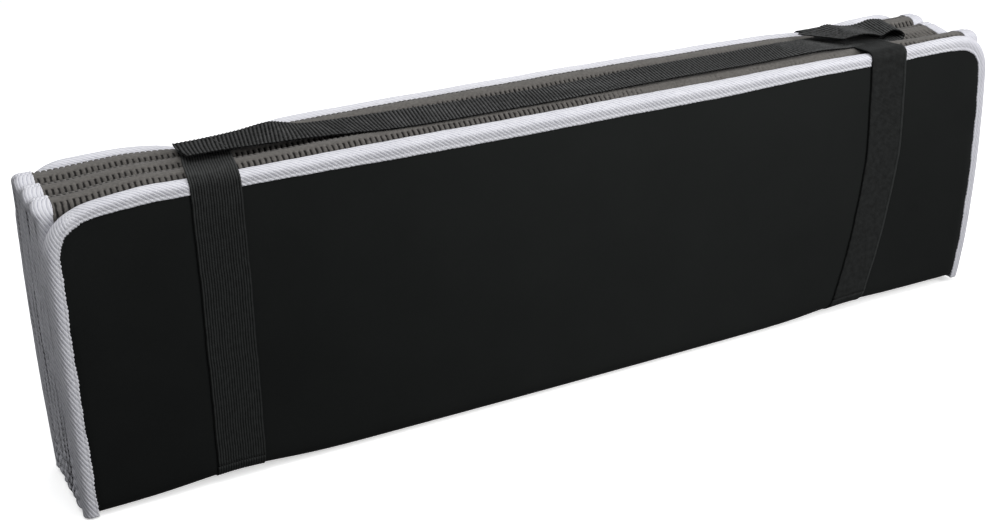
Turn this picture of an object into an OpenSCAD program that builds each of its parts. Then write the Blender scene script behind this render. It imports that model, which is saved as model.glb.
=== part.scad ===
// Folding gym mat, stood on its long edge and folded into eight panels like an accordion.
// +X runs along the folds, +Y to the rear panel, +Z up. The origin is on the ground,
// in the middle of the folded block. All sizes are millimetres.

/* [Mat] */
// Length of every panel, along the folds
mat_length = 610; // [420:1:800]
// Height of a panel from fold to fold
panel_h = 175; // [140:1:260]
// Distance from one panel to the next in the folded block
panel_pitch = 10; // [8.8:0.1:14]
// Air left between two folded panels
panel_gap = 0.3; // [0.2:0.05:0.5]
// Radius of the foam and cloth at the outside of a fold
fold_r = 7; // [5:0.5:7.5]
// Radius of the free top edges of the first and the last panel
free_edge_r = 3; // [2:0.25:3.5]
// Radius of the two cut corners of the first and the last panel
corner_r = 28; // [16:1:45]

/* [Cloth and tape] */
// Thickness of the ribbed cloth
ribbed_t = 1.2; // [0.8:0.05:1.6]
// Thickness of the plain base cloth
cloth_t = 0.8; // [0.6:0.05:1.2]
// Thickness of the binding tape
tape_t = 0.5; // [0.3:0.05:0.55]
// Width of the binding tape on each face
tape_w = 10; // [6:0.5:14]

/* [Elastic loops] */
// Distance from each end of the mat to the middle of its loop
loop_inset = 88; // [45:1:150]
// Width of the elastic
loop_w = 30; // [20:1:40]
// Thickness of the elastic
loop_t = 1; // [0.8:0.1:1.6]
// Air between the elastic and the folded block
loop_gap = 0.3; // [0.2:0.05:0.5]

/* [Carry handle] */
// Width of the handle webbing
handle_w = 34; // [24:1:44]
// Thickness of the handle webbing
handle_t = 1.2; // [0.8:0.1:1.8]
// Air between the lying handle and the fold tops
handle_gap = 0.5; // [0.4:0.05:0.9]
// Cut between the grip and each sewn end
handle_cut = 0.3; // [0.2:0.05:0.6]
// How far each sewn end reaches past its loop
end_reach = 2; // [0:0.5:6]
// Length over which the grip comes down from the loops to the fold tops
grip_ramp = 14; // [10:1:24]
// Rise of the low arch beside the left loop
low_arch_h = 6; // [4:0.5:9]
// Rise of the high arch beside the right loop
high_arch_h = 9; // [6:0.5:14]
// Length of each arch
arch_length = 52; // [40:1:70]
// Distance from a loop's inner edge to the middle of its arch
arch_offset = 34; // [30:1:60]

/* [Seams] */
// Distance from the edge of a sewn end to its stitching
seam_inset = 3; // [2:0.5:6]
// Width of a row of stitching
seam_w = 1; // [0.6:0.1:1.6]
// Height of the thread above the webbing
seam_t = 0.3; // [0.2:0.05:0.5]

/* [Hidden] */
$fn = 64;
PANELS = 8;
ARCH_STEPS = 24;       // straight pieces along each arch of the grip
RAMP_STEPS = 8;        // straight pieces along each ramp of the grip
OVER = 10;             // how far a cutting shape reaches past the solid it cuts
FINE_R = 0.2;          // smallest corner radius left on an inner layer

panel_t = panel_pitch - panel_gap;
block_half = PANELS * panel_pitch / 2 - panel_gap / 2;
half_l = mat_length / 2;
block_z = loop_t + loop_gap;
block_top = block_z + panel_h;
loop_top = block_top + loop_gap + loop_t;
loop_half = block_half + loop_gap + loop_t;
loop_x = half_l - loop_inset;
loop_in_x = loop_x - loop_w / 2;
sewn_l = loop_w + end_reach;
grip_z = block_top + handle_gap;
grip_end_x = loop_in_x - end_reach - handle_cut;
arch_x = loop_in_x - arch_offset;
arch_half = arch_length / 2;

RIBBED = [0.46, 0.45, 0.42];
BASE = [0.10, 0.10, 0.10];
TAPE = [0.88, 0.88, 0.90];
FOAM = [0.25, 0.25, 0.27];
ELASTIC = [0.17, 0.18, 0.17];
WEBBING = [0.24, 0.24, 0.24];
THREAD = [0.12, 0.12, 0.12];

// ---- flat shapes ----

// What a round corner of radius r takes off a square one at the origin
module corner_waste(r) {
    difference() {
        translate([-OVER, -OVER]) square(r + OVER);
        translate([r, r]) circle(r);
    }
}

// Rectangle from the origin with radii for bottom left, bottom right, top right, top left
module rounded_rect(w, h, radii) {
    difference() {
        square([w, h]);
        if (radii[0] > 0) corner_waste(radii[0]);
        if (radii[1] > 0) translate([w, 0]) mirror([1, 0]) corner_waste(radii[1]);
        if (radii[2] > 0) translate([w, h]) rotate(180) corner_waste(radii[2]);
        if (radii[3] > 0) translate([0, h]) mirror([0, 1]) corner_waste(radii[3]);
    }
}

// ---- panels ----

function is_odd(k) = k % 2 == 1;
function is_outer(k) = k == 1 || k == PANELS;
function panel_front(k) = -block_half + (k - 1) * panel_pitch;

// Radii of a panel's section, front bottom first and then anticlockwise
function section_radii(k) =
    [is_odd(k) ? fold_r : 0,
     is_odd(k) ? 0 : fold_r,
     is_outer(k) ? free_edge_r : is_odd(k) ? fold_r : 0,
     is_outer(k) ? free_edge_r : is_odd(k) ? 0 : fold_r];

// Insets of the three skins, in the order front, back, bottom, top
function outer_skin(k, extra) = [extra, extra, extra, extra];
function ribbed_skin(k, extra) =
    [is_odd(k) ? 0 : ribbed_t, is_odd(k) ? ribbed_t : 0, 0, is_outer(k) ? 0 : ribbed_t]
    + outer_skin(k, extra);
function base_skin(k, extra) =
    ribbed_skin(k, extra) + [is_odd(k) ? cloth_t : 0, is_odd(k) ? 0 : cloth_t, cloth_t, 0];
function inner_radius(r, a, b) = r == 0 ? 0 : max(r - max(a, b), FINE_R);

// Section of panel k across the folds, drawn in from its outer skin by the given insets
module section(k, inset) {
    r = section_radii(k);
    translate([panel_front(k) + inset[0], block_z + inset[2]])
        rounded_rect(panel_t - inset[0] - inset[1], panel_h - inset[2] - inset[3],
                     [inner_radius(r[0], inset[0], inset[2]),
                      inner_radius(r[1], inset[1], inset[2]),
                      inner_radius(r[2], inset[1], inset[3]),
                      inner_radius(r[3], inset[0], inset[3])]);
}

// Face outline of panel k, seen from the front, drawn in from its three bound edges.
// Only the first and the last panel have round corners and a bound top edge.
module face_outline(k, inset) {
    top = is_outer(k) ? inset : -OVER;
    r = is_outer(k) ? corner_r - inset : 0;
    translate([-half_l + inset, block_z - OVER])
        rounded_rect(mat_length - 2 * inset, panel_h + OVER - top, [0, 0, r, r]);
}

// Sweeps a section along the panel
module along_panel() {
    translate([-half_l, 0, 0]) rotate([90, 0, 90]) linear_extrude(mat_length) children();
}

// Pushes a face outline through the panel
module through_panel(k) {
    translate([0, panel_front(k) + panel_t + OVER, 0])
        rotate([90, 0, 0]) linear_extrude(panel_t + 2 * OVER) children();
}

// One skin of panel k between two sections, on its open face and under its binding tape.
// The layer that both have in common runs on through the step between them.
module skin(k, outer, inner) {
    intersection() {
        along_panel() difference() {
            section(k, outer[0]);
            section(k, inner[0]);
        }
        through_panel(k) face_outline(k, tape_w);
    }
    intersection() {
        along_panel() difference() {
            section(k, outer[1]);
            section(k, inner[0]);
        }
        through_panel(k) face_outline(k, tape_t);
    }
    intersection() {
        along_panel() difference() {
            section(k, outer[1]);
            section(k, inner[1]);
        }
        through_panel(k) difference() {
            face_outline(k, tape_t);
            face_outline(k, tape_w);
        }
    }
}

module foam_core(k) {
    color(FOAM) union() {
        intersection() {
            along_panel() section(k, base_skin(k, 0));
            through_panel(k) face_outline(k, tape_w);
        }
        intersection() {
            along_panel() section(k, base_skin(k, tape_t));
            through_panel(k) face_outline(k, tape_t);
        }
    }
}

module ribbed_cloth(k) {
    color(RIBBED) union() {
        skin(k, [outer_skin(k, 0), outer_skin(k, tape_t)],
                [ribbed_skin(k, 0), ribbed_skin(k, tape_t)]);
    }
}

module base_cloth(k) {
    color(BASE) union() {
        skin(k, [ribbed_skin(k, 0), ribbed_skin(k, tape_t)],
                [base_skin(k, 0), base_skin(k, tape_t)]);
    }
}

// Binding tape folded over the bound edges of panel k
module edge_tape(k) {
    color(TAPE) difference() {
        intersection() {
            along_panel() section(k, outer_skin(k, 0));
            through_panel(k) difference() {
                face_outline(k, 0);
                face_outline(k, tape_w);
            }
        }
        intersection() {
            along_panel() section(k, outer_skin(k, tape_t));
            through_panel(k) face_outline(k, tape_t);
        }
    }
}

// The tape of a middle panel at one end only: side is -1 at the left and 1 at the right
module edge_tape_end(k, side) {
    color(TAPE) intersection() {
        edge_tape(k);
        translate([side > 0 ? 0 : -half_l - OVER, -block_half - OVER, 0])
            cube([half_l + OVER, 2 * (block_half + OVER), block_top + OVER]);
    }
}

// ---- carry strap ----

// Section of the elastic round the block: closed, with the block's own corners
module loop_section() {
    inner_w = 2 * (block_half + loop_gap);
    inner_h = panel_h + 2 * loop_gap;
    low_r = fold_r + loop_gap;
    high_r = free_edge_r + loop_gap;
    difference() {
        translate([-loop_half, 0])
            rounded_rect(2 * loop_half, inner_h + 2 * loop_t,
                         [low_r + loop_t, low_r + loop_t, high_r + loop_t, high_r + loop_t]);
        translate([-inner_w / 2, loop_t])
            rounded_rect(inner_w, inner_h, [low_r, low_r, high_r, high_r]);
    }
}

module loop(side) {
    color(ELASTIC)
        translate([side * loop_x - loop_w / 2, 0, 0])
            rotate([90, 0, 90]) linear_extrude(loop_w) loop_section();
}

// Sewn end of the handle, lying on the top run of its loop
module handle_end(side) {
    first_x = side > 0 ? loop_in_x - end_reach : -loop_x - loop_w / 2;
    color(WEBBING)
        translate([first_x, -handle_w / 2, loop_top])
            cube([sewn_l, handle_w, handle_t]);
}

// Box of stitching through a sewn end
module seam(side) {
    seam_l = loop_w - 2 * seam_inset;
    seam_d = handle_w - 2 * seam_inset;
    color(THREAD)
        translate([side * loop_x, 0, loop_top + handle_t])
            linear_extrude(seam_t) difference() {
                square([seam_l, seam_d], center = true);
                square([seam_l - 2 * seam_w, seam_d - 2 * seam_w], center = true);
            }
}

// Smooth hump of the given rise round x0
function hump(x, x0, rise) =
    abs(x - x0) >= arch_half ? 0 : rise * (1 + cos(180 * (x - x0) / arch_half)) / 2;
// Smooth step from 0 to 1
function ease(t) = (1 - cos(180 * min(max(t, 0), 1))) / 2;
// Underside of the grip at x
function grip_under(x) =
    grip_z
    + (loop_top - grip_z) * ease((abs(x) - grip_end_x + grip_ramp) / grip_ramp)
    + hump(x, -arch_x, low_arch_h) + hump(x, arch_x, high_arch_h);

// Stations along one half of the grip, from the middle of its arch span to the cut
half_stations = concat(
    [for (i = [0 : ARCH_STEPS]) arch_x - arch_half + i * arch_length / ARCH_STEPS],
    [for (i = [1 : RAMP_STEPS])
        arch_x + arch_half + (grip_end_x - arch_x - arch_half) * i / RAMP_STEPS]);
stations = concat([for (i = [len(half_stations) - 1 : -1 : 0]) -half_stations[i]], half_stations);

module handle_grip() {
    color(WEBBING)
        translate([0, handle_w / 2, 0]) rotate([90, 0, 0]) linear_extrude(handle_w)
            polygon(concat(
                [for (x = stations) [x, grip_under(x)]],
                [for (i = [len(stations) - 1 : -1 : 0])
                    [stations[i], grip_under(stations[i]) + handle_t]]));
}

// ---- nodes ----

foam_core(1);  // foam_core_1
foam_core(2);  // foam_core_2
foam_core(3);  // foam_core_3
foam_core(4);  // foam_core_4
foam_core(5);  // foam_core_5
foam_core(6);  // foam_core_6
foam_core(7);  // foam_core_7
foam_core(8);  // foam_core_8
ribbed_cloth(1);  // ribbed_cloth_1
ribbed_cloth(2);  // ribbed_cloth_2
ribbed_cloth(3);  // ribbed_cloth_3
ribbed_cloth(4);  // ribbed_cloth_4
ribbed_cloth(5);  // ribbed_cloth_5
ribbed_cloth(6);  // ribbed_cloth_6
ribbed_cloth(7);  // ribbed_cloth_7
ribbed_cloth(8);  // ribbed_cloth_8
base_cloth(1);  // base_cloth_1
base_cloth(2);  // base_cloth_2
base_cloth(3);  // base_cloth_3
base_cloth(4);  // base_cloth_4
base_cloth(5);  // base_cloth_5
base_cloth(6);  // base_cloth_6
base_cloth(7);  // base_cloth_7
base_cloth(8);  // base_cloth_8
edge_tape(1);  // edge_tape_1
edge_tape(8);  // edge_tape_8
edge_tape_end(2, -1);  // edge_tape_left_2
edge_tape_end(3, -1);  // edge_tape_left_3
edge_tape_end(4, -1);  // edge_tape_left_4
edge_tape_end(5, -1);  // edge_tape_left_5
edge_tape_end(6, -1);  // edge_tape_left_6
edge_tape_end(7, -1);  // edge_tape_left_7
edge_tape_end(2, 1);  // edge_tape_right_2
edge_tape_end(3, 1);  // edge_tape_right_3
edge_tape_end(4, 1);  // edge_tape_right_4
edge_tape_end(5, 1);  // edge_tape_right_5
edge_tape_end(6, 1);  // edge_tape_right_6
edge_tape_end(7, 1);  // edge_tape_right_7
loop(-1);  // left_loop
loop(1);  // right_loop
handle_end(-1);  // handle_left_end
handle_grip();
handle_end(1);  // handle_right_end
seam(-1);  // left_seam
seam(1);  // right_seam
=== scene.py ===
"""Folding gym mat: the dressed model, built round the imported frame.

The mat stands on its long edge, folded into eight panels like an accordion. Every panel is a
foam board with plain base cloth on one face and ribbed cloth on the other. White twill tape
binds the edge, and a carry strap of two elastic loops and a webbing handle holds the block.

Everything is in metres, in the frame's own axes: +X along the folds, +Y to the last panel, +Z up.
"""

import logging
import math
from dataclasses import dataclass
from enum import Enum
from typing import Callable

import bmesh
import bpy
import numpy as np
from mathutils import Matrix, Vector

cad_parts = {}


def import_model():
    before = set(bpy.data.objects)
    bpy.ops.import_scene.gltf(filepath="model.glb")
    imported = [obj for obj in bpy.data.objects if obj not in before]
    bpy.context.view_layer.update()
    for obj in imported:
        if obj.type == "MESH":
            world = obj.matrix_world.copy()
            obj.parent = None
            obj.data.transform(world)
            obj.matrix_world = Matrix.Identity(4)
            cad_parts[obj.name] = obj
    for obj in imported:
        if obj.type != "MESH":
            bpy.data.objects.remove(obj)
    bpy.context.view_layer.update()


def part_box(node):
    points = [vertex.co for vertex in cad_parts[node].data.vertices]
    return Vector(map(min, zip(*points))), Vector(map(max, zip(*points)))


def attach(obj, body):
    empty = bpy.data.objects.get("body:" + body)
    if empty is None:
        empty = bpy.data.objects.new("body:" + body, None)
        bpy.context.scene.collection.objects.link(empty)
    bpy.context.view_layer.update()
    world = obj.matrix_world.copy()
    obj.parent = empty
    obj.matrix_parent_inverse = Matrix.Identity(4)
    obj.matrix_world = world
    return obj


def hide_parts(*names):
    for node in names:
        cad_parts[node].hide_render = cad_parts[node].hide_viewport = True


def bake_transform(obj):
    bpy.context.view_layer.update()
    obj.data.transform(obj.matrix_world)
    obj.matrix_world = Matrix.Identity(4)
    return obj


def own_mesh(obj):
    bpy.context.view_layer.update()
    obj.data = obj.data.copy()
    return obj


LOG = logging.getLogger("gym_mat")
MM = 0.001
PANELS = 8

# Differences below which two places count as the same, in metres
CLOSE = 1e-5
SAME_PLACE = 1e-6
SAME_STOP = 1e-7
TINY = 1e-9

Points = np.ndarray
Numbers = np.ndarray
Field = Callable[[np.ndarray, np.ndarray], np.ndarray]
Colour = tuple[float, ...]
Socket = bpy.types.NodeSocket


# ---------------------------------------------------------------------------------------------
# Choices
# ---------------------------------------------------------------------------------------------


class Side(Enum):
    """The two ends of the mat, as the sign of X."""

    LEFT = -1
    RIGHT = 1


class Face(Enum):
    """The two faces of a panel, as the sign of Y."""

    FRONT = -1
    BACK = 1


# ---------------------------------------------------------------------------------------------
# Number and path helpers
# ---------------------------------------------------------------------------------------------


def ease(t: Numbers) -> Numbers:
    """Smooth step from 0 to 1."""
    t = np.clip(t, 0.0, 1.0)
    return t * t * (3.0 - 2.0 * t)


def hill(x: Numbers, middle: float | Numbers, width: float) -> Numbers:
    """Smooth hill, 1 at its middle and nearly 0 at twice its width."""
    return np.exp(-(((x - middle) / width) ** 2))


def ripple(x: Numbers, seed: float) -> Numbers:
    """Slow, even unevenness between -1 and 1, the same on every run.

    Args:
        x: Position along the piece, in metres.
        seed: Shifts the pattern, so that two pieces differ.

    Returns:
        The unevenness at each position.
    """
    waves = ((47.0, 3.1, 1.0), (113.0, 5.7, 0.7), (263.0, 1.9, 0.45), (619.0, 7.3, 0.3))
    total = sum(size * np.sin(x * turns + seed * shift) for turns, shift, size in waves)
    return total / sum(size for _, _, size in waves)


def spread(start: float, stop: float, step: float) -> Numbers:
    """Evenly spaced stops from start to stop, about step apart."""
    count = max(2, int(round(abs(stop - start) / step)) + 1)
    return np.linspace(start, stop, count)


def unit(rows: Points) -> Points:
    """The same directions, each at a length of 1."""
    return rows / np.linalg.norm(rows, axis=1)[:, None]


def travelled(path: Points) -> Numbers:
    """Distance along a path of straight pieces, at each of its points."""
    steps = np.linalg.norm(np.diff(path, axis=0), axis=1)
    return np.concatenate([[0.0], np.cumsum(steps)])


def stop_of(travel: Numbers, distance: Numbers) -> Numbers:
    """Index of the stop at each distance along a path."""
    return np.searchsorted(travel, distance - SAME_STOP)


def point_at(path: Points, travel: Numbers, distance: Numbers) -> Points:
    """Points of a path at the given distances, straight between its own points."""
    return np.stack([np.interp(distance, travel, column) for column in path.T], 1)


def resample(path: Points, step: float) -> Points:
    """Points at even distances along a path of straight pieces."""
    travel = travelled(path)
    return point_at(path, travel, spread(0.0, travel[-1], step))


def rounded_loop(corners: list[tuple[float, float, float]], step: float) -> Points:
    """A closed outline with round corners.

    Args:
        corners: (y, z, radius) of the corners: front low, back low, back high, front high.
        step: Distance between its points.

    Returns:
        Its (y, z) points; the last one is the first one again.
    """
    points: list[tuple[float, float]] = []
    inward = ((1, 1), (-1, 1), (-1, -1), (1, -1))
    for index, ((y, z, radius), (in_y, in_z)) in enumerate(zip(corners, inward)):
        start = math.pi + index * math.pi / 2.0
        for t in np.linspace(start, start + math.pi / 2.0, 10):
            points.append((y + radius * (in_y + math.cos(t)), z + radius * (in_z + math.sin(t))))
    points.append(points[0])
    return resample(np.array(points), step)


def smooth_path(stops: Points, steps: int) -> Points:
    """A smooth curve through the given stops.

    Args:
        stops: The points that it passes, one per row.
        steps: How many points it gets between two stops.

    Returns:
        Its points.
    """
    slope = np.gradient(stops, axis=0)
    t = np.linspace(0.0, 1.0, steps, endpoint=False)[:, None]
    curve = [
        (2 * t**3 - 3 * t**2 + 1) * stops[i] + (t**3 - 2 * t**2 + t) * slope[i]
        + (3 * t**2 - 2 * t**3) * stops[i + 1] + (t**3 - t**2) * slope[i + 1]
        for i in range(len(stops) - 1)
    ]
    return np.concatenate(curve + [stops[-1:]])


# ---------------------------------------------------------------------------------------------
# Mesh helpers
# ---------------------------------------------------------------------------------------------


def make_object(name: str, mesh: bpy.types.Mesh) -> bpy.types.Object:
    """Links a new object that holds the mesh, at the origin.

    Args:
        name: The object's name.
        mesh: Its mesh.

    Returns:
        The new object.
    """
    piece = bpy.data.objects.new(name, mesh)
    bpy.context.scene.collection.objects.link(piece)
    return piece


def mesh_of(name: str, work: bmesh.types.BMesh, smooth: bool = True) -> bpy.types.Object:
    """Turns a finished bmesh into an object.

    Args:
        name: The piece's name.
        work: The bmesh, which is freed.
        smooth: Whether its faces are shaded smooth.

    Returns:
        The new object.
    """
    mesh = bpy.data.meshes.new(name)
    work.to_mesh(mesh)
    work.free()
    mesh.polygons.foreach_set("use_smooth", [smooth] * len(mesh.polygons))
    return make_object(name, mesh)


def cloth_grid(name: str, along: Numbers, across: Numbers, place: Field,
               attributes: dict[str, Field] | None = None,
               closed: bool = False) -> bpy.types.Object:
    """Makes a cut length of cloth, tape or webbing and lays it where it goes.

    Args:
        name: The piece's name.
        along: Stops along its length, in metres.
        across: Stops across its width, in metres, or the numbers of a section's rows.
        place: Gives the point in the frame for each pair of stops.
        attributes: Named values that its finish reads, each from the same pairs of stops.
        closed: Whether its edges meet, so that they are joined and its ends filled.

    Returns:
        The new object, with a UV map that holds the stops.
    """
    work = bmesh.new()
    bmesh.ops.create_grid(
        work, x_segments=len(along) - 1, y_segments=len(across) - 1, size=0.5
    )
    mesh = bpy.data.meshes.new(name)
    work.to_mesh(mesh)
    work.free()
    flat = np.zeros(len(mesh.vertices) * 3)
    mesh.vertices.foreach_get("co", flat)
    flat = flat.reshape(-1, 3)
    column = np.rint((flat[:, 0] + 0.5) * (len(along) - 1)).astype(int)
    row = np.rint((flat[:, 1] + 0.5) * (len(across) - 1)).astype(int)
    u, v = along[column], across[row]
    mesh.vertices.foreach_set("co", place(u, v).astype(np.float32).ravel())
    corner = np.zeros(len(mesh.loops), dtype=np.int32)
    mesh.loops.foreach_get("vertex_index", corner)
    chart = mesh.uv_layers.new(name="length_width")
    chart.data.foreach_set("uv", np.stack([u[corner], v[corner]], 1).astype(np.float32).ravel())
    for key, value in (attributes or {}).items():
        layer = mesh.attributes.new(key, "FLOAT", "POINT")
        layer.data.foreach_set("value", value(u, v).astype(np.float32))
    if closed:
        close_up(mesh)
    mesh.polygons.foreach_set("use_smooth", [True] * len(mesh.polygons))
    mesh.update()
    return make_object(name, mesh)


def close_up(mesh: bpy.types.Mesh) -> None:
    """Joins the edges of a rolled-up grid that meet, and fills its two ends.

    Args:
        mesh: The mesh, which is changed.
    """
    work = bmesh.new()
    work.from_mesh(mesh)
    bmesh.ops.remove_doubles(work, verts=work.verts, dist=SAME_PLACE)
    rims = [edge for edge in work.edges if edge.is_boundary]
    if rims:
        bmesh.ops.holes_fill(work, edges=rims, sides=0)
    bmesh.ops.recalc_face_normals(work, faces=work.faces)
    work.to_mesh(mesh)
    work.free()


def thicken(piece: bpy.types.Object, thickness: float) -> None:
    """Gives a sheet its thickness, on the inner side of its faces.

    Args:
        piece: The sheet.
        thickness: Its thickness, in metres.
    """
    shell = piece.modifiers.new("thickness", "SOLIDIFY")
    shell.thickness = thickness
    shell.offset = -1.0


def place_piece(piece: bpy.types.Object, body: str, material: bpy.types.Material,
                stands_for: tuple[str, ...] = ()) -> None:
    """Gives a finished piece its body, its finish and the nodes that it stands for.

    Args:
        piece: The finished piece.
        body: The frame's body that carries it; empty for one that is left without a body.
        material: Its material.
        stands_for: The frame's nodes that it replaces.
    """
    piece.data.materials.clear()
    piece.data.materials.append(material)
    if body:
        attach(piece, body)
    if stands_for:
        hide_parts(*stands_for)
    LOG.info("%s: %d faces", piece.name, len(piece.data.polygons))


# ---------------------------------------------------------------------------------------------
# Finishes
# ---------------------------------------------------------------------------------------------


class Nodes:
    """Short way to lay out one material's node tree."""

    def __init__(self, name: str) -> None:
        """Starts an empty material with one Principled shader.

        Args:
            name: The material's name.
        """
        self.material = bpy.data.materials.new(name)
        self.material.use_nodes = True
        self.tree = self.material.node_tree
        self.tree.nodes.clear()
        self.shader = self.tree.nodes.new("ShaderNodeBsdfPrincipled")
        output = self.tree.nodes.new("ShaderNodeOutputMaterial")
        self.join(self.shader.outputs["BSDF"], output.inputs["Surface"])

    def join(self, source: Socket, target: Socket) -> None:
        """Links one socket to another."""
        self.tree.links.new(source, target)

    def feed(self, target: Socket, value: object) -> None:
        """Links a socket to the target, or sets the target's own value."""
        if isinstance(value, Socket):
            self.join(value, target)
        elif value is not None:
            target.default_value = value

    def math(self, operation: str, a: object, b: object = None) -> Socket:
        """One step of arithmetic on two numbers or sockets.

        Args:
            operation: The name of the step, as the Math node has it.
            a: The first number or socket.
            b: The second one, or None where the step has only one.

        Returns:
            The socket of the result.
        """
        node = self.tree.nodes.new("ShaderNodeMath")
        node.operation = operation
        self.feed(node.inputs[0], a)
        self.feed(node.inputs[1], b)
        return node.outputs[0]

    def plus(self, a: object, b: object) -> Socket:
        """Sum of two numbers or sockets."""
        return self.math("ADD", a, b)

    def minus(self, a: object, b: object) -> Socket:
        """The first number or socket less the second."""
        return self.math("SUBTRACT", a, b)

    def times(self, a: object, b: object) -> Socket:
        """Product of two numbers or sockets."""
        return self.math("MULTIPLY", a, b)

    def size_of(self, value: Socket) -> Socket:
        """A value without its sign."""
        return self.math("ABSOLUTE", value)

    def place(self) -> Socket:
        """Object coordinates, which are the frame's own."""
        return self.tree.nodes.new("ShaderNodeTexCoord").outputs["Object"]

    def chart(self) -> Socket:
        """The piece's own map of its length and width.

        Returns:
            The socket of the map.
        """
        node = self.tree.nodes.new("ShaderNodeUVMap")
        node.uv_map = "length_width"
        return node.outputs["UV"]

    def parts(self, vector: Socket) -> list[Socket]:
        """The three numbers of a vector.

        Args:
            vector: The socket that gives it.

        Returns:
            A socket for each number.
        """
        node = self.tree.nodes.new("ShaderNodeSeparateXYZ")
        self.join(vector, node.inputs[0])
        return list(node.outputs)

    def attribute(self, name: str) -> Socket:
        """A named value stored on the piece's points.

        Args:
            name: Its name.

        Returns:
            The socket of the value.
        """
        node = self.tree.nodes.new("ShaderNodeAttribute")
        node.attribute_name = name
        return node.outputs["Fac"]

    def noise(self, vector: Socket, scale: float, detail: float = 2.0) -> Socket:
        """Soft irregular values from 0 to 1.

        Args:
            vector: The coordinates that it is laid on.
            scale: How many lumps there are to the metre.
            detail: How many finer layers it has.

        Returns:
            The socket of the values.
        """
        node = self.tree.nodes.new("ShaderNodeTexNoise")
        node.inputs["Scale"].default_value = scale
        node.inputs["Detail"].default_value = detail
        self.join(vector, node.inputs["Vector"])
        return node.outputs["Fac"]

    def wave(self, position: Socket, pitch: float) -> Socket:
        """Even waves from 0 to 1 along a position in metres, one per pitch."""
        swing = self.math("SINE", self.times(position, 2.0 * math.pi / pitch))
        return self.plus(self.times(swing, 0.5), 0.5)

    def remap(self, value: Socket, span: tuple[float, float],
              target: tuple[float, float] = (0.0, 1.0)) -> Socket:
        """Brings a value from one span of numbers to another, held at its ends.

        Args:
            value: The value.
            span: The numbers that it starts from.
            target: The numbers that they become.

        Returns:
            The socket of the result.
        """
        node = self.tree.nodes.new("ShaderNodeMapRange")
        self.join(value, node.inputs["Value"])
        for key, number in zip(("From Min", "From Max", "To Min", "To Max"), span + target):
            node.inputs[key].default_value = number
        return node.outputs["Result"]

    def mix(self, factor: Socket, first: object, second: object) -> Socket:
        """Blends two colours.

        Args:
            factor: 0 for the first colour and 1 for the second.
            first: The first colour or its socket.
            second: The second colour or its socket.

        Returns:
            The socket of the colour.
        """
        node = self.tree.nodes.new("ShaderNodeMix")
        node.data_type = "RGBA"
        self.feed(node.inputs["Factor"], factor)
        self.feed(node.inputs["A"], first)
        self.feed(node.inputs["B"], second)
        return node.outputs["Result"]

    def relief(self, *layers: tuple[Socket, float]) -> Socket:
        """Relief of one or more layers, each a height from 0 to 1 and its depth in metres.

        Args:
            layers: The height and depth of each, the lowest first.

        Returns:
            The socket of the relief.
        """
        under = None
        for height, depth in layers:
            node = self.tree.nodes.new("ShaderNodeBump")
            node.inputs["Distance"].default_value = depth
            self.join(height, node.inputs["Height"])
            if under is not None:
                self.join(under, node.inputs["Normal"])
            under = node.outputs["Normal"]
        return under

    def dress(self, colour: Socket, relief: Socket | None, roughness: float, sheen: float,
              specular: float) -> bpy.types.Material:
        """Finishes the shader.

        Args:
            colour: The socket that gives its base colour.
            relief: The socket that gives its relief, or None.
            roughness: How matt it is.
            sheen: How much its loose fibres catch grazing light.
            specular: How much it shines.

        Returns:
            The finished material.
        """
        inputs = self.shader.inputs
        self.join(colour, inputs["Base Color"])
        inputs["Roughness"].default_value = roughness
        inputs["Specular IOR Level"].default_value = specular
        inputs["Sheen Weight"].default_value = sheen
        inputs["Sheen Roughness"].default_value = 0.5
        if relief is not None:
            self.join(relief, inputs["Normal"])
        return self.material


@dataclass(frozen=True)
class BaseClothFinish:
    """Fine near-black cloth in a tight weave, with painted light: greyer in the middle of the mat
    and higher up.
    """

    colour: Colour = (0.0040, 0.0046, 0.0046, 1.0)
    # The second colour serves both random speckle and painted light; the numbers below paint the
    # cloth greyer in the middle of the mat and higher up, as a broad highlight.
    worn_and_lit: Colour = (0.0132, 0.0146, 0.0140, 1.0)
    thread: float = 0.55 * MM
    lit_middle: float = 45.0 * MM
    lit_span: tuple[float, float] = (60.0 * MM, 300.0 * MM)
    lit_amount: tuple[float, float] = (0.78, 0.33)
    height_span: tuple[float, float] = (0.0, 170.0 * MM)
    height_amount: tuple[float, float] = (-0.17, 0.14)

    def material(self) -> bpy.types.Material:
        """Builds the cloth's material.

        Returns:
            The finished material.
        """
        n = Nodes("base_cloth")
        place = n.place()
        x, y, z = n.parts(place)
        weave = n.times(n.wave(x, self.thread), n.wave(n.plus(z, y), self.thread))
        cloud = n.noise(place, 22.0, 4.0)
        fluff = n.noise(place, 1400.0)
        speckle = n.plus(n.remap(cloud, (0.35, 0.7), (-0.07, 0.07)),
                         n.remap(fluff, (0.3, 0.8), (-0.09, 0.09)))
        # Painted light: a broad painted highlight, greyer towards the middle of the mat and
        # towards its top, added to the random speckle.
        from_middle = n.size_of(n.minus(x, self.lit_middle))
        wear_and_painted_light = n.plus(n.remap(from_middle, self.lit_span, self.lit_amount),
                      n.remap(z, self.height_span, self.height_amount))
        shade = n.mix(n.plus(speckle, wear_and_painted_light), self.colour, self.worn_and_lit)
        relief = n.relief((weave, 0.05 * MM), (fluff, 0.04 * MM))
        return n.dress(shade, relief, roughness=0.9, sheen=0.03, specular=0.1)


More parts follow.
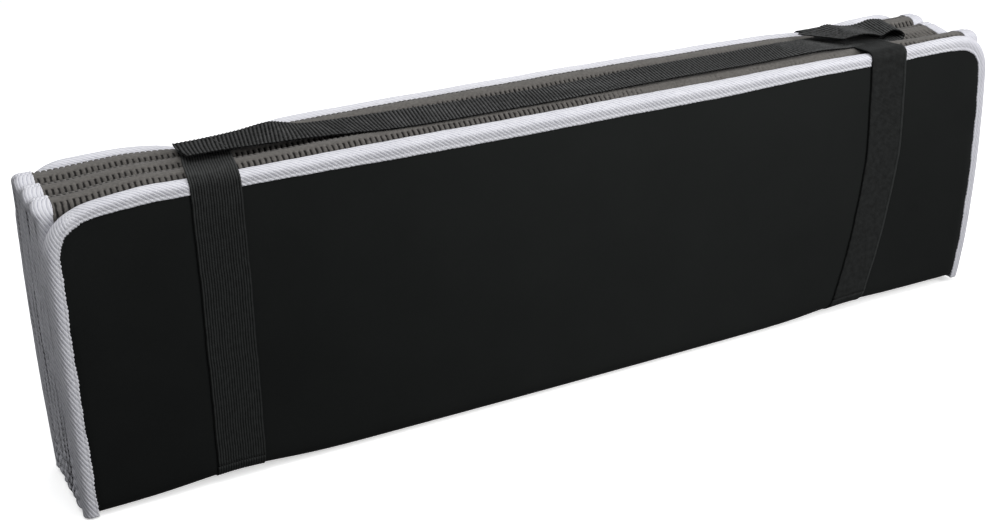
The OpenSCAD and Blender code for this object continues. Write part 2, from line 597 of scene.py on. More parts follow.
@dataclass(frozen=True)
class RibbedClothFinish:
    """Warm grey ribbed cloth: flat ribs with slots between them, which are painted dark as shade.
    """

    rib: Colour = (0.132, 0.124, 0.115, 1.0)
    shade: Colour = (0.074, 0.069, 0.064, 1.0)
    # The slot colour is painted shade in the slots.
    slot: Colour = (0.0110, 0.0098, 0.0090, 1.0)

    def material(self) -> bpy.types.Material:
        """Builds the cloth's material; "slot" on the points says where the slots are.

        Returns:
            The finished material.
        """
        n = Nodes("ribbed_cloth")
        place = n.place()
        mottle = n.noise(place, 620.0, 3.0)
        fibre = n.noise(place, 2600.0)
        tone = n.plus(n.remap(mottle, (0.3, 0.72), (0.0, 0.75)),
                      n.remap(fibre, (0.2, 0.8), (0.0, 0.3)))
        ragged = n.remap(mottle, (0.3, 0.72), (0.45, 1.5))
        # Painted shade: the slots are darkened towards the slot colour, ragged by the mottle.
        dark = n.remap(n.times(n.attribute("slot"), ragged), (0.12, 0.42))
        shade = n.mix(dark, n.mix(tone, self.rib, self.shade), self.slot)
        relief = n.relief((mottle, 0.25 * MM), (fibre, 0.08 * MM))
        return n.dress(shade, relief, roughness=0.88, sheen=0.12, specular=0.2)


@dataclass(frozen=True)
class TapeFinish:
    """White twill tape: slanting lines, which stand steeper on the ends of the mat, and painted
    shade on the right end.
    """

    thread: Colour = (0.665, 0.665, 0.705, 1.0)
    line: Colour = (0.31, 0.31, 0.37, 1.0)
    pitch: float = 2.35 * MM
    lean: float = 0.75
    crossing: float = 0.3
    crossing_turn: float = 1.1
    end_pitch: float = 3.5 * MM
    end_lean: float = 1.66
    end_crossing: float = 0.9
    end: float = 288.0 * MM
    rear_span: tuple[float, float] = (28.0 * MM, 35.0 * MM)

    def material(self) -> bpy.types.Material:
        """Builds the tape's material; "hem" on the points says where it is sewn down.

        Returns:
            The finished material.
        """
        n = Nodes("binding_tape")
        place = n.place()
        x, y, z = n.parts(place)
        twill = self._twill(n, place)
        # Painted shade on the right end of the mat: over its last 8 mm the tape darkens and its
        # twill lines and relief fade.
        right_end_light = n.remap(x, (self.end - 8.0 * MM, self.end), (1.0, 0.45))
        line = n.times(n.remap(twill, (0.22, 0.0)),
                       n.remap(n.noise(place, 420.0, 3.0), (0.3, 0.62), (0.2, 1.0)))
        for fading in (right_end_light, n.remap(y, self.rear_span, (1.0, 0.3)),
                       n.remap(n.attribute("hem"), (0.0, 1.0), (1.0, 0.2))):
            line = n.times(line, fading)
        soil = n.remap(n.noise(place, 35.0, 3.0), (0.45, 0.75), (0.0, 0.12))
        shaded = n.times(n.minus(1.0, right_end_light), 0.35)
        tone = n.plus(n.plus(line, soil), shaded)
        thread = n.wave(n.plus(x, z), 0.45 * MM)
        relief = n.relief((n.times(twill, right_end_light), 0.11 * MM),
                          (n.times(thread, twill), 0.06 * MM))
        shade = n.mix(tone, self.thread, self.line)
        return n.dress(shade, relief, roughness=0.8, sheen=0.1, specular=0.25)

    def _twill(self, n: Nodes, place: Socket) -> Socket:
        """The twill lines, which fall to the right all round the mat.

        Args:
            n: The material's nodes.
            place: The coordinates that it is laid on.

        Returns:
            0 in the middle of a line and 1 between two lines.
        """
        x, y, z = n.parts(place)
        start = n.plus(z, n.times(n.noise(place, 260.0), 0.5 * MM))
        crossing = n.minus(self.crossing, n.times(x, self.crossing_turn))
        slant = n.plus(n.times(x, self.lean), n.times(y, crossing))
        end_crossing = n.times(n.times(y, n.math("SIGN", x)), self.end_crossing)
        end_slant = n.plus(n.times(x, self.end_lean), end_crossing)
        along_mat = n.wave(n.plus(start, slant), self.pitch)
        on_end = n.wave(n.plus(start, end_slant), self.end_pitch)
        at_end = n.remap(n.size_of(x), (self.end, self.end + 6.0 * MM))
        return n.plus(n.times(on_end, at_end), n.times(along_mat, n.minus(1.0, at_end)))


@dataclass(frozen=True)
class ElasticFinish:
    """Charcoal elastic with ribs along its length: painted shade in its grooves, and a painted
    highlight at the left loop's top.
    """

    rib: Colour = (0.0220, 0.0240, 0.0235, 1.0)
    # The groove colour is painted shade between the ribs, and the lighter colour after it a
    # painted highlight for the left loop's top.
    groove: Colour = (0.0012, 0.0014, 0.0014, 1.0)
    worn_and_lit: Colour = (0.0340, 0.0360, 0.0355, 1.0)
    knit: float = 0.9 * MM
    lit_height: tuple[float, float] = (150.0 * MM, 176.0 * MM)
    lit_side: tuple[float, float] = (-100.0 * MM, -180.0 * MM)

    def material(self) -> bpy.types.Material:
        """Builds the elastic's material; "rib" on the points says how high each rib stands.

        Returns:
            The finished material.
        """
        n = Nodes("elastic")
        length = n.parts(n.chart())[0]
        place = n.place()
        x, _, z = n.parts(place)
        cloud = n.noise(place, 300.0, 3.0)
        # Painted shade in the grooves between the ribs, and a painted highlight at the top of the
        # left loop, where light falls from above.
        high = n.plus(n.attribute("rib"), n.remap(cloud, (0.3, 0.7), (-0.2, 0.2)))
        worn_and_lit = n.times(n.remap(z, self.lit_height), n.remap(x, self.lit_side))
        shade = n.mix(high, self.groove, n.mix(worn_and_lit, self.rib, self.worn_and_lit))
        relief = n.relief((n.wave(length, self.knit), 0.08 * MM), (cloud, 0.08 * MM))
        return n.dress(shade, relief, roughness=0.75, sheen=0.03, specular=0.15)


@dataclass(frozen=True)
class WebbingFinish:
    """Charcoal webbing with ribs across its width: painted shade in its grooves and towards the
    left loop.
    """

    rib: Colour = (0.124, 0.126, 0.126, 1.0)
    # The groove colour is painted shade between the ribs; the dark span and amount paint shade
    # towards the left loop, where less light falls.
    groove: Colour = (0.0015, 0.0015, 0.0015, 1.0)
    strand: float = 1.1 * MM
    dark_span: tuple[float, float] = (-190.0 * MM, -60.0 * MM)
    dark_amount: tuple[float, float] = (0.66, 1.0)

    def material(self) -> bpy.types.Material:
        """Builds the webbing's material; "rib" on the points says how high each rib stands.

        Returns:
            The finished material.
        """
        n = Nodes("webbing")
        width = n.parts(n.chart())[1]
        place = n.place()
        cloud = n.noise(place, 500.0, 3.0)
        # Painted shade: near black in the grooves between the ribs, and darker towards the left
        # loop, where less light falls.
        high = n.plus(n.attribute("rib"), n.remap(cloud, (0.3, 0.7), (-0.25, 0.25)))
        high = n.times(high, n.remap(n.parts(place)[0], self.dark_span, self.dark_amount))
        relief = n.relief((n.wave(width, self.strand), 0.12 * MM), (cloud, 0.1 * MM))
        shade = n.mix(high, self.groove, self.rib)
        return n.dress(shade, relief, roughness=0.8, sheen=0.0, specular=0.06)


@dataclass(frozen=True)
class ThreadFinish:
    """Black sewing thread with a slight twist."""

    colour: Colour = (0.014, 0.014, 0.014, 1.0)
    lit: Colour = (0.03, 0.03, 0.03, 1.0)

    def material(self) -> bpy.types.Material:
        """Builds the thread's material.

        Returns:
            The finished material.
        """
        n = Nodes("thread")
        twist = n.noise(n.place(), 3000.0, 1.0)
        shade = n.mix(twist, self.colour, self.lit)
        return n.dress(shade, n.relief((twist, 0.05 * MM)), roughness=0.6, sheen=0.1, specular=0.4)


@dataclass(frozen=True)
class Finishes:
    """The materials of the whole mat."""

    base: bpy.types.Material
    ribbed: bpy.types.Material
    tape: bpy.types.Material
    elastic: bpy.types.Material
    webbing: bpy.types.Material
    thread: bpy.types.Material

    @classmethod
    def make(cls) -> "Finishes":
        """Builds every material once."""
        kinds = (BaseClothFinish, RibbedClothFinish, TapeFinish, ElasticFinish, WebbingFinish,
                 ThreadFinish)
        return cls(*(kind().material() for kind in kinds))


# ---------------------------------------------------------------------------------------------
# The folded block
# ---------------------------------------------------------------------------------------------


@dataclass(frozen=True)
class Block:
    """The folded block and the strap round it: their sizes in the frame, and how they give."""

    half_length: float
    half_depth: float
    low: float
    high: float
    loop_x: float
    loop_width: float
    loop_half: float
    loop_high: float
    slant: float = 26.0 * MM
    left_slant: float = 2.0 * MM
    upright_share: float = 0.68
    pull_reach: float = 34.0 * MM
    pinch: float = 0.9 * MM
    top_pull: float = 1.3 * MM
    foot_pull: float = 2.6 * MM
    foot_droop: float = 1.0 * MM
    foot_reach: float = 55.0 * MM
    brow_reach: float = 40.0 * MM
    bulge: float = 1.3 * MM
    rear_sag: float = 9.0 * MM
    rear_end_rise: float = 1.6 * MM
    rear_fold_rise: float = 2.3 * MM
    rear_tape_rise: float = 1.9 * MM
    middle_fold_dip: float = 2.2 * MM
    front_dip: float = 1.8 * MM
    right_slump: float = 2.4 * MM
    right_front_rise: float = 1.8 * MM
    right_foot_lift: float = 2.2 * MM
    left_slump: float = 4.2 * MM
    fan_out: float = 6.5 * MM
    fan_along: float = 4.5 * MM
    rear_lean: float = 3.0 * MM
    tuck: float = 4.5 * MM
    end_bulge: float = 1.2 * MM
    end_dip: float = 0.6 * MM
    end_spread: float = 0.7 * MM
    top_ripple: float = 0.3 * MM

    @classmethod
    def from_frame(cls) -> "Block":
        """Reads the block's sizes from the frame's own nodes.

        Returns:
            The block.
        """
        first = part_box("edge_tape_1")
        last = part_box("edge_tape_8")
        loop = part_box("right_loop")
        return cls(
            half_length=first[1].x,
            half_depth=last[1].y,
            low=first[0].z,
            high=first[1].z,
            loop_x=(loop[0].x + loop[1].x) / 2.0,
            loop_width=loop[1].x - loop[0].x,
            loop_half=loop[1].y,
            loop_high=loop[1].z,
        )

    def height_share(self, z: Numbers) -> Numbers:
        """Height on the panels, from 0 at the bottom to 1 at the top."""
        return np.clip((z - self.low) / (self.high - self.low), 0.0, 1.0)

    def loop_middle(self, side: Side, z: Numbers) -> Numbers:
        """X of the middle of a loop at each height: the right one has slipped out of true.

        Args:
            side: Which loop it is.
            z: The heights.

        Returns:
            The X at each height.
        """
        slip = self.slant if side is Side.RIGHT else self.left_slant
        below = np.clip(1.0 - self.height_share(z) / self.upright_share, 0.0, 1.0)
        return side.value * self.loop_x + slip * (0.5 - below**1.6)

    def past_loop(self, x: Numbers, start: float, length: float) -> Numbers:
        """Smooth step outwards, from 0 at start beyond a loop's middle to 1 a length further."""
        return ease((x - self.loop_x - start) / length)

    def settle(self, points: Points) -> Points:
        """Bends a stiff shape as soft panels under an elastic strap are bent.

        The loops pull the bottom edge up, pinch the faces and drag the rear top edge down.
        Between them the block bulges, and past them the panels fan out a little.

        Args:
            points: Points of the stiff shape, one per row.

        Returns:
            The same points, moved.
        """
        x, y, z = points.T
        side = y / self.half_depth
        height = self.height_share(z)
        belly = np.sin(math.pi * height)
        foot = np.clip(1.0 - (z - self.low) / self.foot_reach, 0.0, 1.0) ** 2
        brow = np.clip(1.0 - (self.high - z) / self.brow_reach, 0.0, 1.0) ** 2
        pull = sum(hill(x, self.loop_middle(end, z), self.pull_reach) for end in Side)
        middle = self._middle(x)
        flare = self.past_loop(np.abs(x), 28.0 * MM, 60.0 * MM)
        fan = self._fan(x, y, height)
        lean = self.past_loop(x, 33.0 * MM, 50.0 * MM) * ease((y - 5.0 * MM) / (10.0 * MM))
        tuck = self.past_loop(-x, 18.0 * MM, 60.0 * MM) * (side + 1.0) / 2.0
        drop = self._sag(x, y) + self._slump(x, y) - self._bow(y, middle)
        moved = points.copy()
        moved[:, 0] += np.sign(x) * flare * (self.end_bulge * belly - self.end_dip * brow)
        moved[:, 0] += self.fan_along * fan + self.rear_lean * lean * brow
        moved[:, 1] += side * (
            self.bulge * belly * (1.0 - pull) - self.pinch * pull
            + self.end_spread * flare * (1.0 - foot)
        )
        moved[:, 1] -= self.fan_out * fan + self.tuck * tuck
        moved[:, 2] += foot * (
            self.foot_pull * pull - self.foot_droop * middle
            + self.right_foot_lift * self.past_loop(x, -27.0 * MM, 80.0 * MM)
        )
        moved[:, 2] -= brow * (self.top_pull * pull + drop - self.top_ripple * ripple(x, 2.0))
        return moved

    def _middle(self, x: Numbers) -> Numbers:
        """1 in the middle of the mat, and 0 from the loops outwards."""
        return np.cos(np.clip(x / self.loop_x, -1.0, 1.0) * math.pi / 2.0)

    def _fan(self, x: Numbers, y: Numbers, height: Numbers) -> Numbers:
        """How far the front panels fan out past the right loop, from 0 to 1.

        Args:
            x: Places along the mat.
            y: Places across the folds.
            height: Shares of the height.

        Returns:
            The share of the full reach at each place.
        """
        at_front = ease((-y - 4.0 * MM) / (9.0 * MM))
        outwards = np.clip((x - self.loop_x - 8.0 * MM) / (80.0 * MM), 0.0, 1.0) ** 1.2
        return at_front * outwards * np.sin(0.5 * math.pi * height) ** 0.8

    def _sag(self, x: Numbers, y: Numbers) -> Numbers:
        """How far the strap drags the rear top edge down, beside the left loop.

        Args:
            x: Places along the mat.
            y: Places across the folds.

        Returns:
            The drop at each place, in metres.
        """
        at_rear = ease((y - 0.2 * self.half_depth) / (0.75 * self.half_depth))
        dragged = hill(x, 22.0 * MM - self.loop_x, 22.0 * MM)
        end = self.past_loop(x, 18.0 * MM, 30.0 * MM)
        return at_rear * (self.rear_sag * dragged - self.rear_end_rise * end)

    def _bow(self, y: Numbers, middle: Numbers) -> Numbers:
        """How far each fold's top edge stands up between the loops, or dips.

        Args:
            y: Places across the folds.
            middle: 1 in the middle of the mat, and 0 from the loops outwards.

        Returns:
            The rise at each place, in metres.
        """
        return middle**0.6 * (
            self.rear_fold_rise * hill(y, 0.55 * self.half_depth, 8.0 * MM)
            + self.rear_tape_rise * hill(y, 0.95 * self.half_depth, 6.0 * MM)
            - self.middle_fold_dip * hill(y, 0.0, 8.0 * MM)
            - self.front_dip * ease((-y - 0.72 * self.half_depth) / (8.0 * MM))
        )

    def _slump(self, x: Numbers, y: Numbers) -> Numbers:
        """How far the top edges slump past the loops.

        Args:
            x: Places along the mat.
            y: Places across the folds.

        Returns:
            The drop at each place, in metres.
        """
        right = self.past_loop(x, 18.0 * MM, 35.0 * MM) * (
            self.right_slump * hill(y, -0.25 * self.half_depth, 15.0 * MM)
            - self.right_front_rise * ease((-y - 0.75 * self.half_depth) / (6.0 * MM))
        )
        toward_front = (1.0 - y / self.half_depth) / 2.0
        left = self.left_slump * self.past_loop(-x, 28.0 * MM, 50.0 * MM) * toward_front
        return right + left


# ---------------------------------------------------------------------------------------------
# Panels
# ---------------------------------------------------------------------------------------------


@dataclass
class Panel:
    """One panel: padded base cloth over foam, and ribbed cloth on its other face."""

    number: int
    block: Block
    finishes: Finishes
    corner: float = 28.0 * MM
    tape_width: float = 10.0 * MM
    fold_round: float = 7.0 * MM
    free_round: float = 2.6 * MM
    pad_inset: float = 3.0 * MM
    bend_step: float = 9.0 * MM
    rise_step: float = 12.0 * MM
    sheet: float = 0.5 * MM
    rib_pitch: float = 3.17 * MM
    slot_width: float = 2.2 * MM
    slot_depth: float = 1.15 * MM
    rib_sink: float = 1.75 * MM
    crown_drop: float = 8.8 * MM
    lap: float = 2.0 * MM
    bound_lap: float = 4.5 * MM
    foot_gap: float = 1.2 * MM
    squareness: float = 2.8
    uneven: float = 0.25
    worn_shut: float = 0.75
    less_at_end: float = 0.35

    def __post_init__(self) -> None:
        """Reads where the panel stands."""
        low, high = self._span()
        self.front, self.back = low.y, high.y
        self.odd = self.number % 2 == 1
        self.outer = self.number in (1, PANELS)
        self.body = f"panel_{self.number}"
        self.ribbed_face = Face.BACK if self.odd else Face.FRONT
        pitch = (2.0 * self.block.half_depth + 0.3 * MM) / PANELS
        self.crown_y = (self.number - PANELS / 2 - (1 if self.odd else 0)) * pitch

    def _span(self) -> tuple[Vector, Vector]:
        """Lowest and highest corner of the panel's own nodes.

        Returns:
            The two corners.
        """
        boxes = [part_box(f"{kind}_{self.number}") for kind in ("ribbed_cloth", "base_cloth")]
        low = Vector(min(box[0][i] for box in boxes) for i in range(3))
        high = Vector(max(box[1][i] for box in boxes) for i in range(3))
        return low, high

    def build(self) -> None:
        """Builds the panel's two covers."""
        self._base_pad()
        self._ribbed_sheet()

    # -- base cloth over foam ------------------------------------------------------------------

    def _base_pad(self) -> None:
        """The foam board in its base cloth: a padded closed form with soft folds."""
        work, size, centre = self._board()
        self._round_off(work, centre)
        self._cut(work, size, centre)
        points = np.array([vert.co for vert in work.verts])
        points = self.block.settle(self.squared(points) if self.outer else points)
        for vert, co in zip(work.verts, points):
            vert.co = co
        bmesh.ops.recalc_face_normals(work, faces=work.faces)
        piece = mesh_of(f"base_cover_{self.number}", work)
        nodes = (f"base_cloth_{self.number}", f"foam_core_{self.number}")
        place_piece(piece, self.body, self.finishes.base, nodes)

    def _board(self) -> tuple[bmesh.types.BMesh, Vector, Vector]:
        """The plain board between the tapes and behind the ribbed cloth.

        Returns:
            Its bmesh, its size and its middle.
        """
        block = self.block
        front = self.front + (0.0 if self.odd else self.rib_sink)
        back = self.back - (self.rib_sink if self.odd else 0.0)
        top = block.high - (self.pad_inset if self.outer else self.rib_sink)
        length = 2.0 * (block.half_length - self.pad_inset)
        size = Vector((length, back - front, top - block.low))
        centre = Vector((0.0, (front + back) / 2.0, (top + block.low) / 2.0))
        work = bmesh.new()
        bmesh.ops.create_cube(work, size=1.0)
        bmesh.ops.scale(work, vec=size, verts=work.verts)
        bmesh.ops.translate(work, vec=centre, verts=work.verts)
        return work, size, centre

    def _round_off(self, work: bmesh.types.BMesh, centre: Vector) -> None:
        """Rounds the board's corners, its folds and its free rim.

        Args:
            work: Its bmesh.
            centre: Its middle.
        """

        def at_top(a: Vector, b: Vector) -> bool:
            """Whether an edge is in the upper half of the board."""
            return min(a.z, b.z) > centre.z

        def at_fold(a: Vector, b: Vector, high: bool) -> bool:
            """Whether an edge is the one that the cloth folds over.

            Args:
                a: One end of the edge.
                b: Its other end.
                high: Whether the fold at the top is meant, or the one at the foot.

            Returns:
                Whether it is that edge.
            """
            runs_along = abs(a.x - b.x) > self.corner
            behind = self.odd if high else not self.odd
            return runs_along and (a.z > centre.z) == high and (a.y > centre.y) == behind

        if self.outer:
            self._bevel(work, self.corner - self.pad_inset, 14, lambda a, b: at_top(a, b)
                        and abs(a.x - b.x) < CLOSE < abs(a.y - b.y))
        self._bevel(work, self.fold_round, 6, lambda a, b: at_fold(a, b, high=False))
        if self.outer:
            self._bevel(work, self.free_round, 4,
                        lambda a, b: at_top(a, b) and abs(a.y - b.y) < CLOSE)
        else:
            self._bevel(work, self.fold_round - 1.0 * MM, 6,
                        lambda a, b: at_fold(a, b, high=True))

    @staticmethod
    def _bevel(work: bmesh.types.BMesh, radius: float, segments: int,
               wanted: Callable[[Vector, Vector], bool]) -> None:
        """Rounds the edges that the test picks.

        Args:
            work: The bmesh.
            radius: Radius of the rounding.
            segments: Faces across it.
            wanted: Says of an edge's two ends whether it is rounded.
        """
        edges = [e for e in work.edges if wanted(e.verts[0].co, e.verts[1].co)]
        bmesh.ops.bevel(work, geom=edges, offset=radius, segments=segments, profile=0.5,
                        affect="EDGES", material=-1, clamp_overlap=True)

    def _cut(self, work: bmesh.types.BMesh, size: Vector, centre: Vector) -> None:
        """Cuts the board across at even stations, so that it can bend.

        Args:
            work: Its bmesh.
            size: Its size.
            centre: Its middle.
        """
        for axis, step in ((0, self.bend_step), (2, self.rise_step)):
            normal = Vector((0.0, 0.0, 0.0))
            normal[axis] = 1.0
            for stop in spread(-size[axis] / 2.0, size[axis] / 2.0, step)[1:-1]:
                point = centre.copy()
                point[axis] += stop
                bmesh.ops.bisect_plane(work, geom=work.verts[:] + work.edges[:] + work.faces[:],
                                       dist=SAME_PLACE, plane_co=point, plane_no=normal)

    # -- ribbed cloth --------------------------------------------------------------------------

    def _ribbed_sheet(self) -> None:
        """The ribbed cloth: over the fold's crown and down the panel's face, slots and all."""
        path, travel = self._ribbed_path()
        tangent = unit(np.gradient(path, axis=0))
        sign = self.ribbed_face.value
        outward = np.stack([-tangent[:, 1] * sign, tangent[:, 0] * sign], 1)
        stops = self._rib_stops()

        def lay(u: Numbers, v: Numbers) -> Points:
            """Lays the cloth along its way, pressed in at its slots.

            Args:
                u: Places along the mat.
                v: Numbers of the points of its way.

            Returns:
                The point of each pair.
            """
            i = v.astype(int)
            sink = self.slot_depth * self._slot_at(u, travel[i])
            bed = path[i] - outward[i] * sink[:, None]
            points = np.stack([u, bed[:, 0], bed[:, 1]], 1)
            return self.block.settle(self._inside_corner(points))

        piece = cloth_grid(
            f"ribbed_cover_{self.number}", stops, np.arange(len(path), dtype=float), lay,
            {"slot": lambda u, v: self._slot_at(u, travel[v.astype(int)])},
        )
        if sign > 0:
            piece.data.flip_normals()
        thicken(piece, self.sheet)
        place_piece(piece, self.body, self.finishes.ribbed,
                    (f"ribbed_cloth_{self.number}",))

    def _ribbed_path(self) -> tuple[Points, Numbers]:
        """The sheet's way across the panel, from its top end to its bottom end.

        Returns:
            The (y, z) points of the way, and each one's distance from the crown of the fold.
        """
        block = self.block
        sign = self.ribbed_face.value
        face_y = self.back if sign > 0 else self.front
        bottom = block.low + self.foot_gap
        if self.outer:
            z = spread(block.high - self.tape_width + self.lap, bottom, 9.0 * MM)
            far_from_crown = np.full(len(z), 50.0 * MM)
            return np.stack([np.full(len(z), face_y), z], 1), far_from_crown
        width = abs(face_y - self.crown_y)
        turn = np.linspace(0.0, math.pi / 2.0, 21)
        crown = np.stack([
            self.crown_y + sign * width * np.sin(turn) ** 0.92,
            block.high - self.crown_drop * (1.0 - np.cos(turn) ** 0.92),
        ], 1)
        z = spread(block.high - self.crown_drop, bottom, 10.0 * MM)[1:]
        flat = np.stack([np.full(len(z), face_y), z], 1)
        path = np.concatenate([crown, flat])
        return path, travelled(path)

    def _rib_stops(self) -> Numbers:
        """Stops along the mat: close together in every slot, and few on the ribs.

        Returns:
            The stops, from the left end to the right end.
        """
        lap = self.bound_lap if self.outer else self.lap
        reach = self.block.half_length - self.tape_width + lap
        count = int(reach / self.rib_pitch)
        marks = [share * self.slot_width for share in (-0.5, -0.3, 0.0, 0.3, 0.5)]
        marks.append(0.5 * self.rib_pitch)
        stops = [i * self.rib_pitch + mark for i in range(-count, count + 1) for mark in marks]
        stops = [x for x in stops if abs(x) < reach]
        return np.array([-reach] + stops + [reach])

    def _slot_at(self, x: Numbers, far: Numbers) -> Numbers:
        """How open the cloth is: 1 in the middle of a slot, and 0 on the ribs and the crown.

        Args:
            x: Places along the mat.
            far: Their distances from the crown of the fold.

        Returns:
            The opening at each place.
        """
        start, length = (0.1 * MM, 0.7 * MM) if self.odd else (4.5 * MM, 1.1 * MM)
        slot = np.rint(x / self.rib_pitch)
        off = np.abs(x - slot * self.rib_pitch)
        shape = np.clip(1.0 - (off / (0.5 * self.slot_width)) ** 2, 0.0, 1.0)
        pressed = self.uneven * np.abs(np.sin(12.9 * slot + 7.0 * self.number))
        if self.number < PANELS / 2 + 2:
            worn_and_lit = self.worn_shut * ease((x + 10.0 * MM) / (80.0 * MM))
            worn_and_lit = worn_and_lit - self.less_at_end * self.block.past_loop(x, 18.0 * MM, 20.0 * MM)
            pressed += worn_and_lit * (1.0 - ease((far - 11.0 * MM) / (14.0 * MM)))
        return shape * (1.0 - pressed) * ease((far - start) / length)

    # -- round corners -------------------------------------------------------------------------

    def squared(self, points: Points) -> Points:
        """Fills out the round corner at the right, where the loop pulls the cloth tight.

        Args:
            points: Points of the panel, one per row.

        Returns:
            The same points, moved.
        """
        off_x = np.maximum(points[:, 0] - (self.block.half_length - self.corner), 0.0)
        off_z = np.maximum(points[:, 2] - (self.block.high - self.corner), 0.0)
        far = np.maximum(np.hypot(off_x, off_z), TINY)
        power = self.squareness
        swell = ((off_x / far) ** power + (off_z / far) ** power) ** (-1.0 / power) - 1.0
        swell = np.where((off_x > 0.0) & (off_z > 0.0), swell, 0.0)
        moved = points.copy()
        moved[:, 0] += off_x * swell
        moved[:, 2] += off_z * swell
        return moved

    def _inside_corner(self, points: Points) -> Points:
        """Keeps the cloth of a bound panel inside its two round corners.

        Args:
            points: Points of the cloth, one per row.

        Returns:
            The same points, moved.
        """
        if not self.outer:
            return points
        reach = self.corner - self.tape_width + self.bound_lap
        centre_x = self.block.half_length - self.corner
        centre_z = self.block.high - self.corner
        off_x = np.abs(points[:, 0]) - centre_x
        off_z = points[:, 2] - centre_z
        far = np.hypot(off_x, off_z)
        outside = (off_x > 0) & (off_z > 0) & (far > reach)
        shrink = np.where(outside, reach / np.maximum(far, TINY), 1.0)
        moved = points.copy()
        moved[:, 0] = np.where(outside, np.sign(points[:, 0]) * (centre_x + off_x * shrink),
                               points[:, 0])
        moved[:, 2] = np.where(outside, centre_z + off_z * shrink, points[:, 2])
        return moved


# ---------------------------------------------------------------------------------------------
# Binding tape
# ---------------------------------------------------------------------------------------------


@dataclass
class BindingTape:
    """Twill tape folded over the edge of one panel."""

    panel: Panel
    proud: float = 0.45 * MM
    snug: float = 0.13 * MM
    nose: float = 4.2 * MM
    cap_nose: float = 3.6 * MM
    worn_back: float = 1.1 * MM
    crown_proud: float = 0.9 * MM
    crown_push: float = 1.7 * MM
    lump_push: float = 1.1 * MM
    lump_pitch: float = 6.5 * MM
    end_wander: float = 0.5 * MM
    hem_width: float = 3.0 * MM
    stitch_line: float = 2.3 * MM
    stitch_pitch: float = 2.6 * MM
    scallop: float = 0.5 * MM
    scallop_pitch: float = 2.4 * MM
    edge_wander: float = 0.5 * MM
    step: float = 0.6 * MM
    cap_step: float = 0.8 * MM

    def __post_init__(self) -> None:
        """Works out where the tape's inner edge and its stitches lie."""
        self.width = self.panel.tape_width
        self.stitches = self.width - self.stitch_line
        self.inner_edge = self.width - 0.2 * MM

    def build(self) -> None:
        """Binds the panel's edge."""
        if self.panel.outer:
            self._round_three_edges()
        else:
            for side in Side:
                self._one_end(side)

    def _ragged(self, u: Numbers) -> Numbers:
        """How far the inner edge wanders: scallops between the stitches, and slow waves."""
        scallops = self.scallop * np.abs(np.sin(math.pi * u / self.scallop_pitch))
        return scallops + self.edge_wander * ripple(u * 3.0, float(self.panel.number))

    def _needle(self, u: Numbers) -> Numbers:
        """1 where the needle goes through, and 0 between two stitches."""
        return 0.5 + 0.5 * np.cos(2.0 * math.pi * u / self.stitch_pitch)

    # -- first and last panel ------------------------------------------------------------------

    def _round_three_edges(self) -> None:
        """The tape of the first or last panel: one length round three edges."""
        panel = self.panel
        travel, way, inward = self._edge_path()
        section = self._section()

        def lay(u: Numbers, v: Numbers) -> Points:
            """Lays the tape's section round the panel's outline.

            Args:
                u: Distances along the tape.
                v: Numbers of the section's rows.

            Returns:
                The point of each pair.
            """
            i = stop_of(travel, u)
            depth, side, pulled = section[v.astype(int)].T
            depth = self._narrowed(depth, way[i][:, 0], np.abs(inward[i][:, 0]), u)
            spot = way[i] + inward[i] * depth[:, None]
            points = np.stack([spot[:, 0], self._between_faces(side, pulled, u), spot[:, 1]], 1)
            return panel.block.settle(panel.squared(points))

        def hem(u: Numbers, v: Numbers) -> Numbers:
            """1 near the inner edge, where the tape is sewn down, and 0 on the rest of it."""
            depth = section[v.astype(int)][:, 0]
            return ease((depth - self.inner_edge + self.hem_width) / (0.8 * MM))

        rows = np.arange(len(section), dtype=float)
        piece = cloth_grid(f"edge_tape_band_{panel.number}", travel, rows, lay,
                           {"hem": hem}, closed=True)
        place_piece(piece, panel.body, panel.finishes.tape,
                    (f"edge_tape_{panel.number}",))

    def _section(self) -> np.ndarray:
        """The tape's section, once round.

        Returns:
            Rows of depth in from the edge, place between the faces from -1 to 1, and how much
            the stitches pull it in, from 0 to 1.
        """
        width, line = self.width, self.stitches
        lip = [
            (width, 0.935, 0.0), (width - 0.15 * MM, 1.0, 0.0), (width - 0.8 * MM, 1.0, 0.0),
            (line + 0.5 * MM, 0.995, 0.3), (line, 0.99, 1.0), (line - 0.5 * MM, 0.995, 0.3),
            (line - 1.2 * MM, 1.0, 0.0), (self.nose + 0.6 * MM, 1.01, 0.0),
        ]
        turn = np.linspace(0.0, math.pi, 13)
        nose = [(self.nose * (1.0 - math.sin(t)), math.cos(t), 0.0) for t in turn]
        rows = [(depth, -side, pull) for depth, side, pull in lip + nose]
        rows += lip[::-1]
        rows += [(width - 1.0 * MM, 0.5, 0.0), (width - 1.0 * MM, -0.5, 0.0), rows[0]]
        return np.array(rows)

    def _edge_path(self) -> tuple[Numbers, Points, Points]:
        """The outline's way up the left edge, along the top and down the right edge.

        Returns:
            Distance along the way, its (x, z) points, and the inward direction at each.
        """
        block, radius = self.panel.block, self.panel.corner
        half, high = block.half_length, block.high
        rise = spread(block.low, high - radius, self.step)
        bend = np.linspace(math.pi, math.pi / 2.0, int(radius * math.pi / 2.0 / self.step))
        run = spread(-half + radius, 0.0, self.step)
        left = np.stack([np.full(len(rise), -half), rise], 1)
        corner = np.stack([-half + radius + radius * np.cos(bend),
                           high - radius + radius * np.sin(bend)], 1)
        top = np.stack([run, np.full(len(run), high)], 1)
        half_way = np.concatenate([left, corner[1:], top[1:]])
        mirrored = half_way[::-1][1:] * np.array([-1.0, 1.0])
        way = np.concatenate([half_way, mirrored])
        tangent = unit(np.gradient(way, axis=0))
        return travelled(way), way, np.stack([tangent[:, 1], -tangent[:, 0]], 1)

